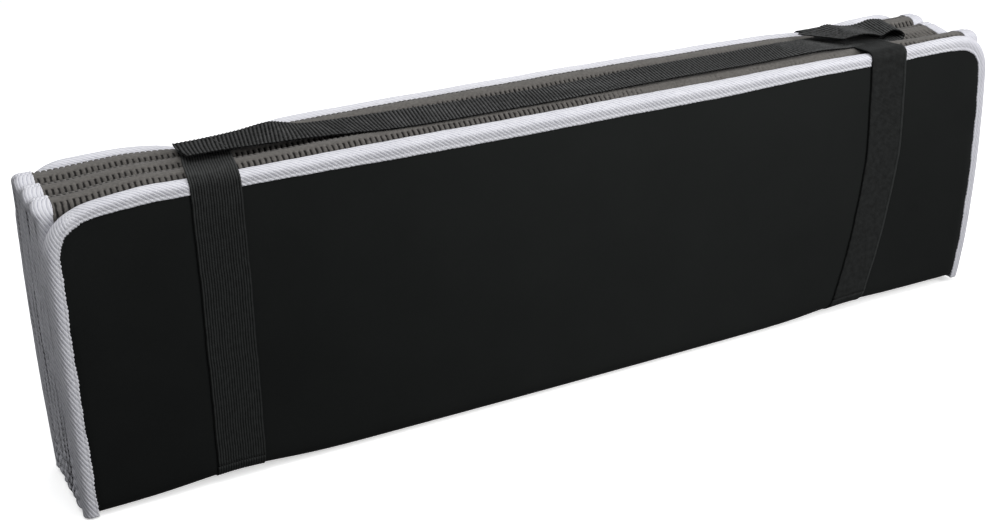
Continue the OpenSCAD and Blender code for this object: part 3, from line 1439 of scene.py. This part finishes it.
    def _narrowed(self, depth: Numbers, x: Numbers, upright: Numbers, u: Numbers) -> Numbers:
        """Depths in from the edge, as the tape is narrower and more ragged in places.

        Args:
            depth: Depths in from the edge on an even tape.
            x: Places along the mat.
            upright: 1 on the ends of the mat, and 0 along its top.
            u: Distances along the tape.

        Returns:
            The depths in from the edge on this tape.
        """
        worn_and_lit = self.worn_back if self.panel.number == 1 else 0.0
        turn = 4.0 * upright**2 * (1.0 - upright**2)
        strained = 0.2 * ease((np.abs(x) - 90.0 * MM) / (90.0 * MM)) * (1.0 - upright)
        narrow = 0.98 - 0.45 * upright**3 - strained - np.where(x > 0, 0.1, 0.3) * turn
        at_edge = depth > self.inner_edge
        depth = np.where(depth > self.nose, self.nose + (depth - self.nose) * narrow,
                         depth + worn_and_lit * (1.0 - upright) * (1.0 - depth / self.nose))
        wear_and_painted_light = 0.3 + 0.7 * upright + 0.9 * turn * (x < 0)
        depth = depth + np.where(at_edge, wear_and_painted_light * self._ragged(u), 0.0)
        return depth + 0.12 * MM * ripple(u, 5.0 + self.panel.number)

    def _between_faces(self, side: Numbers, pulled: Numbers, u: Numbers) -> Numbers:
        """Where points of the section lie across the folds.

        Args:
            side: Their places between the panel's two faces, from -1 to 1.
            pulled: How much the stitches pull them in, from 0 to 1.
            u: Distances along the tape.

        Returns:
            The Y of each point.
        """
        panel = self.panel
        front_proud = self.proud if panel.number == 1 else self.snug
        back_proud = self.proud if panel.number == PANELS else self.snug
        middle = (panel.front + panel.back) / 2.0
        half = (panel.back - panel.front) / 2.0
        reach = half + np.where(side < 0, front_proud, back_proud)
        dip = pulled * (0.08 + 0.07 * self._needle(u)) * MM
        return middle + side * reach - np.sign(side) * dip

    # -- middle panels -------------------------------------------------------------------------

    def _one_end(self, side: Side) -> None:
        """The tape of a middle panel at one end, carried over the crown of its fold.

        Args:
            side: Which end it is.
        """
        panel, block = self.panel, self.panel.block
        outline, spine, travel = self._panel_outline()
        section = self._cap_section()

        def lay(u: Numbers, v: Numbers) -> Points:
            """Lays the tape's section over the panel's own outline.

            Args:
                u: Distances along the tape.
                v: Numbers of the section's rows.

            Returns:
                The point of each pair.
            """
            i = stop_of(travel, u)
            depth, keep, pulled = section[v.astype(int)].T
            depth = depth + np.where(depth > self.inner_edge, 0.3 * self._ragged(u), 0.0)
            keep = keep - pulled * (0.01 + 0.02 * self._needle(u))
            spot = spine[i] + (outline[i] - spine[i]) * keep[:, None]
            z = spot[:, 1]
            x = side.value * (block.half_length - depth + self._push(z))
            return block.settle(np.stack([x, spot[:, 0], z], 1))

        end = f"{side.name.lower()}_{panel.number}"
        rows = np.arange(len(section), dtype=float)
        piece = cloth_grid(f"edge_tape_cap_{end}", travel, rows, lay, closed=True)
        place_piece(piece, panel.body, panel.finishes.tape, (f"edge_tape_{end}",))

    def _push(self, z: Numbers) -> Numbers:
        """How far the end of a middle panel stands out: a round crown, and lumps at its foot.

        Args:
            z: The heights.

        Returns:
            The distance at each height, in metres.
        """
        block, number = self.panel.block, float(self.panel.number)
        crown = ease((z - block.high + 15.0 * MM) / (11.0 * MM))
        foot = ease((block.low + 45.0 * MM - z) / (45.0 * MM))
        lump = np.abs(np.sin(math.pi * z / self.lump_pitch + number * 1.3))
        wander = self.end_wander * ripple(z, number)
        return self.crown_push * crown + self.lump_push * foot * lump + wander

    def _cap_section(self) -> np.ndarray:
        """The tape's section at one end of a middle panel.

        Returns:
            Rows of depth in from the end, share of the panel's own outline, and how much the
            stitches pull it in, from 0 to 1.
        """
        width, line = self.width, self.stitches
        turn = np.linspace(0.0, math.pi / 2.0, 8)
        rows = [
            (width - 0.6 * MM, 0.75, 0.0), (width, 0.94, 0.0), (width - 0.2 * MM, 1.0, 0.0),
            (width - 0.9 * MM, 1.0, 0.0), (line + 0.5 * MM, 1.0, 0.3), (line, 0.99, 1.0),
            (line - 0.5 * MM, 1.0, 0.3), (line - 1.2 * MM, 1.0, 0.0),
        ]
        rows += [(self.cap_nose * (1.0 - math.sin(t)), 0.3 + 0.7 * math.cos(t), 0.0)
                 for t in turn]
        return np.array(rows)

    def _panel_outline(self) -> tuple[Points, Points, Numbers]:
        """The panel's own outline across the folds, a little proud on the fold's crown.

        Returns:
            Its closed (y, z) points, the nearest point of its middle line, and distance along it.
        """
        panel, block = self.panel, self.panel.block
        front, back = panel.front - self.snug, panel.back + self.snug
        low, high = block.low, block.high + self.crown_proud
        fold, small = panel.fold_round, 1.2 * MM
        crown = fold + small
        outline = rounded_loop([
            (front, low, fold if panel.odd else small),
            (back, low, small if panel.odd else fold),
            (back, high, crown if panel.odd else small),
            (front, high, small if panel.odd else crown),
        ], self.cap_step)
        middle, half = (front + back) / 2.0, (back - front) / 2.0
        spine_z = np.clip(outline[:, 1], low + half, high - half)
        spine = np.stack([np.full(len(outline), middle), spine_z], 1)
        return outline, spine, travelled(outline)


# ---------------------------------------------------------------------------------------------
# Carry strap
# ---------------------------------------------------------------------------------------------


@dataclass
class ElasticLoop:
    """One elastic band round the folded block."""

    side: Side
    block: Block
    finishes: Finishes
    ribs: int = 19
    rib_height: float = 0.22 * MM
    thickness: float = 0.9 * MM
    inner_lift: float = 0.15 * MM
    low_round: float = 8.3 * MM
    high_round: float = 4.3 * MM
    drag: float = 15.0 * MM
    wander: float = 0.4 * MM
    shrink: float = 0.172

    def build(self) -> None:
        """Builds the band, its rear top dragged aside."""
        block = self.block
        path, out, travel = self._path()
        section = self._ribbed_section() if self.side is Side.LEFT else self._smooth_section()

        def lay(u: Numbers, v: Numbers) -> Points:
            """Lays the band's section round the block.

            Args:
                u: Distances along the band.
                v: Numbers of the section's rows.

            Returns:
                The point of each pair.
            """
            i = stop_of(travel, u)
            across, lift, _ = section[v.astype(int)].T
            y, z = (path[i] + out[i] * lift[:, None]).T
            x = block.loop_middle(self.side, z) + across
            x = x + self.wander * ripple(u, self.side.value)
            if self.side is Side.LEFT:
                rear = np.clip((y + 38.0 * MM) / (75.0 * MM), 0.0, 1.0)
                x = x + self.drag * rear * ease((z - block.high + 75.0 * MM) / (70.0 * MM))
            return block.settle(np.stack([x, y, z], 1))

        name = self.side.name.lower()
        piece = cloth_grid(
            f"elastic_band_{name}", travel, np.arange(len(section), dtype=float), lay,
            {"rib": lambda u, v: section[v.astype(int), 2]}, closed=True,
        )
        place_piece(piece, "elastic_loops", self.finishes.elastic, (f"{name}_loop",))
        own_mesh(piece)

    def _path(self) -> tuple[Points, Points, Numbers]:
        """The band's inner face across the folds: closed, with soft corners.

        Returns:
            Its (y, z) points, the outward direction at each, and distance along it.
        """
        block = self.block
        half = block.loop_half - 1.0 * MM
        low, high = block.low - 0.3 * MM, block.high + 0.3 * MM
        path = rounded_loop([(-half, low, self.low_round), (half, low, self.low_round),
                             (half, high, self.high_round), (-half, high, self.high_round)],
                            2.0 * MM)
        tangent = np.gradient(path, axis=0)
        tangent[0] = tangent[-1] = path[1] - path[-2]
        tangent = unit(tangent)
        return path, np.stack([tangent[:, 1], -tangent[:, 0]], 1), travelled(path)

    def _ribbed_section(self) -> np.ndarray:
        """The ribbed band's section.

        Returns:
            Rows of place across the band, lift off its inner face, and rib height.
        """
        half = 0.455 * self.block.loop_width
        pitch = 2.0 * half / self.ribs
        rows = []
        for i in range(self.ribs):
            start = -half + i * pitch
            for share, high in ((0.1, 0.0), (0.25, 0.7), (0.5, 1.0), (0.75, 0.7), (0.9, 0.0)):
                lift = self.thickness - self.rib_height * (1.0 - high)
                rows.append((start + share * pitch, lift, high))
        return self._with_underside(rows, half)

    def _smooth_section(self) -> np.ndarray:
        """The plain band's section: even, with a raised line by its right edge.

        Returns:
            Rows of place across the band, lift off its inner face, and rib height.
        """
        half = 0.45 * self.block.loop_width
        rows = [(-half, 0.8 * self.thickness, 0.1), (-0.95 * half, self.thickness, 0.35)]
        for share in np.linspace(-0.85, 0.78, 9):
            rows.append((share * half, self.thickness, 0.40))
        for share, lift, high in ((0.84, -0.12, 0.25), (0.88, 0.12, 1.0), (0.93, 0.12, 1.0),
                                  (0.97, -0.1, 0.4)):
            rows.append((share * half, self.thickness + lift * MM, high))
        return self._with_underside(rows, half)

    def _with_underside(self, rows: list[tuple[float, float, float]], half: float) -> np.ndarray:
        """Closes a section with both edges and a plain inner face.

        Args:
            rows: Its outer face.
            half: Half of its width.

        Returns:
            The section, once round.
        """
        first = (-half, self.inner_lift, 0.0)
        last = [(half, self.inner_lift, 0.0), (half * 0.5, 0.0, 0.0), (-half * 0.5, 0.0, 0.0)]
        return np.array([first] + rows + last + [first])


@dataclass(frozen=True)
class Station:
    """One place along the handle webbing: its front edge and its rear edge, in millimetres.

    Heights are those of the middle of its thickness above the top of the loops.
    """

    front: tuple[float, float, float]
    rear: tuple[float, float, float]


# The webbing's way over the fold tops, from the middle of the mat outwards. At the right loop
# it is folded back over itself, and its end comes back towards the middle.
LEFT_RUN = (
    Station((0.0, -24.5, -0.4), (0.0, 10.5, -2.4)),
    Station((-40.0, -24.5, -0.4), (-38.0, 10.5, -1.8)),
    Station((-85.0, -24.5, -0.2), (-82.0, 10.5, -0.6)),
    Station((-112.0, -22.5, 0.0), (-112.0, 12.0, -0.3)),
    Station((-131.0, -19.0, 0.5), (-134.0, 13.5, 0.0)),
    Station((-150.0, -17.5, 1.2), (-150.0, 15.0, 0.6)),
    Station((-160.0, -17.0, 1.6), (-159.0, 15.5, 2.8)),
    Station((-172.0, -16.5, 2.0), (-168.0, 16.0, 4.2)),
    Station((-188.0, -16.0, 2.4), (-185.0, 16.5, 2.2)),
    Station((-205.0, -15.5, 2.8), (-203.0, 17.0, 1.0)),
    Station((-222.5, -15.0, 2.6), (-223.8, 17.0, 0.6)),
)
RIGHT_RUN = (
    Station((0.0, -24.5, -0.4), (0.0, 10.5, -2.4)),
    Station((45.0, -24.5, 0.0), (40.0, 10.5, -1.7)),
    Station((80.0, -24.5, 0.4), (75.0, 10.5, -0.5)),
    Station((112.0, -24.6, 0.3), (106.0, 10.5, -0.3)),
    Station((141.0, -24.8, 0.2), (138.0, 10.5, -0.5)),
    Station((165.0, -24.6, 0.6), (163.0, 10.5, -0.2)),
    Station((189.0, -24.0, 0.4), (187.0, 10.8, -0.5)),
    Station((203.0, -23.5, -0.6), (200.0, 11.5, -1.0)),
    Station((217.0, -22.0, -1.8), (213.0, 13.0, -1.6)),
    Station((233.0, -20.0, -2.2), (232.0, 14.0, -2.2)),
    Station((249.0, -21.5, -2.4), (260.0, 14.8, -1.5)),
    Station((257.0, -22.0, -2.2), (270.0, 14.8, -0.4)),
    Station((259.5, -20.5, 1.2), (271.5, 14.8, 1.8)),
    Station((254.5, -17.0, 3.7), (267.0, 14.8, 3.2)),
    Station((248.5, -17.2, 2.6), (260.0, 15.0, 3.7)),
    Station((243.5, -17.5, 1.1), (252.5, 15.0, 2.5)),
    Station((239.0, -17.2, 2.4), (244.0, 15.0, 1.8)),
    Station((230.0, -17.0, 4.2), (233.0, 15.0, 3.2)),
    Station((222.0, -17.0, 4.2), (223.0, 14.5, 5.4)),
    Station((215.5, -17.3, 3.7), (211.0, 13.5, 3.6)),
    Station((212.0, -17.5, 3.2), (199.0, 13.0, 2.7)),
)

# X of each seam, at the front edge and at the rear edge of the webbing
SEAM_FRONT = {Side.LEFT: -200.5 * MM, Side.RIGHT: 212.0 * MM}
SEAM_REAR = {Side.LEFT: -201.5 * MM, Side.RIGHT: 235.0 * MM}


@dataclass
class Course:
    """The handle webbing's way: stops along it, both edges there, and its outward direction."""

    stops: Numbers
    front: Points
    rear: Points
    normal: Points


@dataclass
class Handle:
    """The webbing handle: flat on the fold tops, with a bow at each loop that it is sewn to."""

    block: Block
    finishes: Finishes
    rib_pitch: float = 2.18 * MM
    rib_height: float = 0.5 * MM
    edge_wave: float = 0.6 * MM
    width: float = 34.0 * MM
    least_lean: float = 0.15
    rib_lean: float = 0.33
    straight_right: float = 165.0 * MM
    blend_length: float = 55.0 * MM
    stitch_width: float = 0.7 * MM
    stitch_height: float = 0.55 * MM

    def __post_init__(self) -> None:
        """Reads the webbing's sizes."""
        end_low, end_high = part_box("handle_left_end")
        self.thickness = end_high.z - end_low.z
        self.grip_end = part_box("handle_grip")[1].x

    def build(self) -> None:
        """Builds both halves of the webbing and their seams."""
        for side, run in ((Side.LEFT, LEFT_RUN), (Side.RIGHT, RIGHT_RUN)):
            course = self._course(side, run)
            self._half(side, course)
            self._seam(side, course)

    def _course(self, side: Side, run: tuple[Station, ...]) -> Course:
        """The webbing's two edges, close together along its whole length.

        Args:
            side: Which half it is.
            run: Its stations, from the middle of the mat outwards.

        Returns:
            Its way, with seven stops to each rib.
        """
        top = np.array([0.0, 0.0, self.block.loop_high])
        front = smooth_path(np.array([station.front for station in run]) * MM + top, 24)
        rear = smooth_path(np.array([station.rear for station in run]) * MM + top, 24)
        travel = travelled((front + rear) / 2.0)
        stops = spread(0.0, travel[-1], self.rib_pitch / 7.0)
        front = point_at(front, travel, stops)
        rear = point_at(rear, travel, stops)
        along = np.gradient((front + rear) / 2.0, axis=0)
        normal = unit(np.cross(along, rear - front) * float(side.value))
        return Course(stops, front, rear, normal)

    def _section(self) -> np.ndarray:
        """The webbing's section.

        Returns:
            Rows of share of the width, height in the thickness, and rib relief, which is
            positive on the upper face and negative on the lower one.
        """
        half = self.thickness / 2.0
        upper = [(share, half, 1.0) for share in np.linspace(0.012, 0.988, 13)]
        lower = [(share, -half, -1.0) for share in np.linspace(0.988, 0.012, 9)]
        front = [(0.003, -0.7 * half, -0.5), (0.0, 0.0, 0.0), (0.003, 0.7 * half, 0.5)]
        rear = [(0.997, 0.7 * half, 0.5), (1.0, 0.0, 0.0), (0.997, -0.7 * half, -0.5)]
        return np.array(upper + rear + lower + front + upper[:1])

    def _rib(self, u: Numbers) -> Numbers:
        """Height of the webbing's ribs, from 0 in a groove to 1 on a rib."""
        return 0.5 - 0.5 * np.cos(2.0 * math.pi * u / self.rib_pitch)

    def _lean(self, side: Side, course: Course, u: Numbers) -> Numbers:
        """How far the ribs slant across the webbing at each distance from its middle.

        Args:
            side: Which half it is.
            course: Its way.
            u: The distances.

        Returns:
            The slant at each distance: 1 is half a right angle.
        """
        straight = course.stops[-1] if side is Side.LEFT else self.straight_right
        lean = self.rib_lean * ease((side.value * u + 130.0 * MM) / (250.0 * MM))
        return (self.least_lean + lean) * (1.0 - ease((u - straight) / (20.0 * MM)))

    def _half(self, side: Side, course: Course) -> None:
        """One half of the webbing, from the middle of the mat to its sewn end.

        Args:
            side: Which half it is.
            course: Its way.
        """
        section = self._section()

        def lay(u: Numbers, v: Numbers) -> Points:
            """Lays the webbing's section between its two edges, ribs and all.

            Args:
                u: Distances along the webbing.
                v: Numbers of the section's rows.

            Returns:
                The point of each pair.
            """
            i = stop_of(course.stops, u)
            share, lift, relief = section[v.astype(int)].T
            across = np.linalg.norm(course.rear[i] - course.front[i], axis=1)
            at = u + side.value * self._lean(side, course, u) * (share - 0.5) * across
            near = self._edge_at(course.front, course.stops, at)
            far = self._edge_at(course.rear, course.stops, at)
            wave = self.edge_wave / self.width * (2.0 * share - 1.0) ** 15 * self._rib(u)
            spot = near + (far - near) * (share + wave)[:, None]
            sink = self.rib_height * (1.0 - self._rib(u)) * relief
            return spot + course.normal[i] * (lift - sink)[:, None]

        name = side.name.lower()
        piece = cloth_grid(
            f"handle_webbing_{name}", course.stops, np.arange(len(section), dtype=float), lay,
            {"rib": lambda u, v: self._rib(u) * np.abs(section[v.astype(int), 2])}, closed=True,
        )
        place_piece(piece, "", self.finishes.webbing,
                    (f"handle_{name}_end", "handle_grip"))
        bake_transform(piece)

    @staticmethod
    def _edge_at(edge: Points, stops: Numbers, at: Numbers) -> Points:
        """Points of an edge at the given distances, carried straight on before its start."""
        before = np.minimum(at, 0.0)[:, None] * (edge[1] - edge[0]) / stops[1]
        return point_at(edge, stops, at) + before

    def _seam(self, side: Side, course: Course) -> None:
        """A row of stitches across the upper layer of the webbing, beside its loop.

        Args:
            side: Which half of the webbing it is on.
            course: That half's way.
        """
        first = self._last_near(course.front, SEAM_FRONT[side])
        second = self._last_near(course.rear, SEAM_REAR[side])
        work = bmesh.new()
        shares = spread(0.04, 0.96, 0.06)
        for share, after in zip(shares, shares[1:]):
            spots = []
            for part in (share, after):
                i = int(round(first + (second - first) * part))
                up = course.normal[i] * np.sign(course.normal[i][2])
                flat = course.front[i] + (course.rear[i] - course.front[i]) * part
                spots.append(Vector(flat + up * self.thickness / 2.0))
            self._stitch(work, spots[0], spots[1])
        name = side.name.lower()
        piece = mesh_of(f"seam_stitches_{name}", work)
        place_piece(piece, "handle_ends", self.finishes.thread, (f"{name}_seam",))

    @staticmethod
    def _last_near(edge: Points, x: float) -> int:
        """Index of the point of an edge that is nearest to an X, in its last third."""
        last = len(edge) - 1
        return last - int(np.argmin(np.abs(edge[::-1, 0] - x)[: last // 3]))

    def _stitch(self, work: bmesh.types.BMesh, start: Vector, end: Vector) -> None:
        """Adds one stitch, a short rounded thread from start towards end.

        Args:
            work: The bmesh of the row.
            start: Where the needle comes up.
            end: Where the next stitch starts.
        """
        way = end - start
        verts = bmesh.ops.create_uvsphere(work, u_segments=8, v_segments=6, radius=0.5)["verts"]
        bmesh.ops.scale(work, vec=(0.85 * way.length, self.stitch_width, self.stitch_height),
                        verts=verts)
        turn = way.to_track_quat("X", "Z").to_matrix()
        bmesh.ops.rotate(work, matrix=turn, verts=verts)
        bmesh.ops.translate(work, vec=(start + end) / 2.0, verts=verts)


@dataclass
class HingeStrip:
    """Black cloth under the last two panels, which spans the gap when the mat opens."""

    block: Block
    finishes: Finishes
    thickness: float = 0.4 * MM
    gap_below: float = 0.35 * MM
    end_inset: float = 26.0 * MM
    front_inset: float = 0.3 * MM
    rear_inset: float = 9.0 * MM
    blend_length: float = 10.0 * MM

    def build(self) -> None:
        """Builds the strip between the bottoms of the last two panels."""
        fold_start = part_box("base_cloth_7")[0].y
        start = fold_start + self.front_inset
        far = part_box("base_cloth_8")[1].y - self.rear_inset
        reach = self.block.half_length - self.end_inset
        z = self.block.low - self.gap_below

        def lay(u: Numbers, v: Numbers) -> Points:
            """Lays the strip flat under the panels."""
            return np.stack([u, v, np.full(len(u), z)], 1)

        piece = cloth_grid("hinge_strip", spread(-reach, reach, 12.0 * MM),
                           spread(start, far, 1.0 * MM), lay)
        thicken(piece, self.thickness)
        place_piece(piece, "", self.finishes.base)
        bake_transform(piece)


# ---------------------------------------------------------------------------------------------
# Studio
# ---------------------------------------------------------------------------------------------


@dataclass(frozen=True)
class Lamp:
    """One soft square lamp: where it hangs, the point it faces, its side and its watts."""

    name: str
    place: tuple[float, float, float]
    aim: tuple[float, float, float]
    size: float
    power: float

    def hang(self) -> None:
        """Makes the lamp."""
        data = bpy.data.lights.new(self.name, "AREA")
        data.size = self.size
        data.energy = self.power
        lamp = bpy.data.objects.new(self.name, data)
        lamp.location = self.place
        lamp.rotation_mode = "QUATERNION"
        way = Vector(self.aim) - Vector(self.place)
        lamp.rotation_quaternion = way.to_track_quat("-Z", "Y")
        bpy.context.scene.collection.objects.link(lamp)


@dataclass
class Studio:
    """Pale floor, soft light and the camera."""

    eye: tuple[float, float, float] = (-0.414, -0.740, 0.4064)
    heading: float = 26.75
    dip: float = 20.39
    roll: float = -2.37
    lens: float = 52.99
    shift: tuple[float, float] = (0.01165, -0.03851)
    floor_half: float = 12.0
    floor_seen: Colour = (0.93, 0.93, 0.93, 1.0)
    floor_lit: Colour = (0.06, 0.06, 0.06, 1.0)
    floor_lift: float = 0.50
    sky_seen: Colour = (1.0, 1.0, 1.0, 1.0)
    sky_light: Colour = (0.96, 0.98, 1.0, 1.0)
    sky_strength: float = 0.22
    lamps: tuple[Lamp, ...] = (
        Lamp("key", (-0.30, -0.35, 1.50), (0.0, 0.0, 0.10), 1.5, 17.5),
        Lamp("fill_right", (0.85, -1.03, 0.58), (0.0, 0.0, 0.08), 0.7, 14.6),
        Lamp("rear", (0.45, 1.1, 1.1), (0.0, 0.0, 0.12), 0.9, 5.0),
    )

    def build(self) -> None:
        """Sets the whole studio."""
        self._camera()
        self._floor()
        self._world()
        for lamp in self.lamps:
            lamp.hang()

    def _camera(self) -> None:
        """Makes the camera."""
        data = bpy.data.cameras.new("camera")
        data.lens = self.lens
        data.sensor_width = 36.0
        data.shift_x, data.shift_y = self.shift
        data.clip_start, data.clip_end = 0.02, 50.0
        camera = bpy.data.objects.new("camera", data)
        bpy.context.scene.collection.objects.link(camera)
        camera.location = self.eye
        yaw, pitch, roll = (math.radians(a) for a in (self.heading, self.dip, self.roll))
        forward = Vector((math.sin(yaw) * math.cos(pitch), math.cos(yaw) * math.cos(pitch),
                          -math.sin(pitch)))
        level = Vector((math.cos(yaw), -math.sin(yaw), 0.0))
        upright = level.cross(forward)
        right = level * math.cos(roll) + upright * math.sin(roll)
        up = upright * math.cos(roll) - level * math.sin(roll)
        turn = Matrix((right, up, -forward)).transposed()
        camera.rotation_mode = "QUATERNION"
        camera.rotation_quaternion = turn.to_quaternion()
        bpy.context.scene.camera = camera

    def _floor(self) -> None:
        """A wide pale floor that the eye sees as near white and that keeps the shadow."""
        work = bmesh.new()
        bmesh.ops.create_grid(work, x_segments=1, y_segments=1, size=self.floor_half)
        floor = mesh_of("floor", work, smooth=False)
        n = Nodes("floor")
        seen = n.tree.nodes.new("ShaderNodeLightPath").outputs["Is Camera Ray"]
        n.shader.inputs["Emission Color"].default_value = (1.0, 1.0, 1.0, 1.0)
        n.join(n.times(seen, self.floor_lift), n.shader.inputs["Emission Strength"])
        colour = n.mix(seen, self.floor_lit, self.floor_seen)
        floor.data.materials.append(
            n.dress(colour, None, roughness=1.0, sheen=0.0, specular=0.0)
        )

    def _world(self) -> None:
        """Even light from all round, and white where the eye sees past the floor."""
        world = bpy.data.worlds.new("studio")
        world.use_nodes = True
        tree = world.node_tree
        tree.nodes.clear()
        path = tree.nodes.new("ShaderNodeLightPath")
        choice = tree.nodes.new("ShaderNodeMixShader")
        output = tree.nodes.new("ShaderNodeOutputWorld")
        tree.links.new(path.outputs["Is Camera Ray"], choice.inputs["Fac"])
        skies = ((self.sky_light, self.sky_strength), (self.sky_seen, 1.0))
        for slot, (colour, strength) in enumerate(skies, start=1):
            sky = tree.nodes.new("ShaderNodeBackground")
            sky.inputs["Color"].default_value = colour
            sky.inputs["Strength"].default_value = strength
            tree.links.new(sky.outputs[0], choice.inputs[slot])
        tree.links.new(choice.outputs[0], output.inputs["Surface"])
        bpy.context.scene.world = world


# ---------------------------------------------------------------------------------------------
# The whole mat
# ---------------------------------------------------------------------------------------------


def corners(pair: tuple[Vector, Vector]) -> list[list[float]]:
    """Two corners as plain lists of numbers."""
    return [list(pair[0]), list(pair[1])]


def main() -> None:
    """Builds the studio and every sub-assembly."""
    logging.basicConfig(level=logging.INFO, format="%(name)s: %(message)s")
    bpy.context.scene.view_settings.view_transform = "Standard"
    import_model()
    Studio().build()
    block = Block.from_frame()
    finishes = Finishes.make()
    for number in range(1, PANELS + 1):
        panel = Panel(number, block, finishes)
        panel.build()
        BindingTape(panel).build()
    for side in Side:
        ElasticLoop(side, block, finishes).build()
    Handle(block, finishes).build()
    HingeStrip(block, finishes).build()


if __name__ == "__main__":
    main()
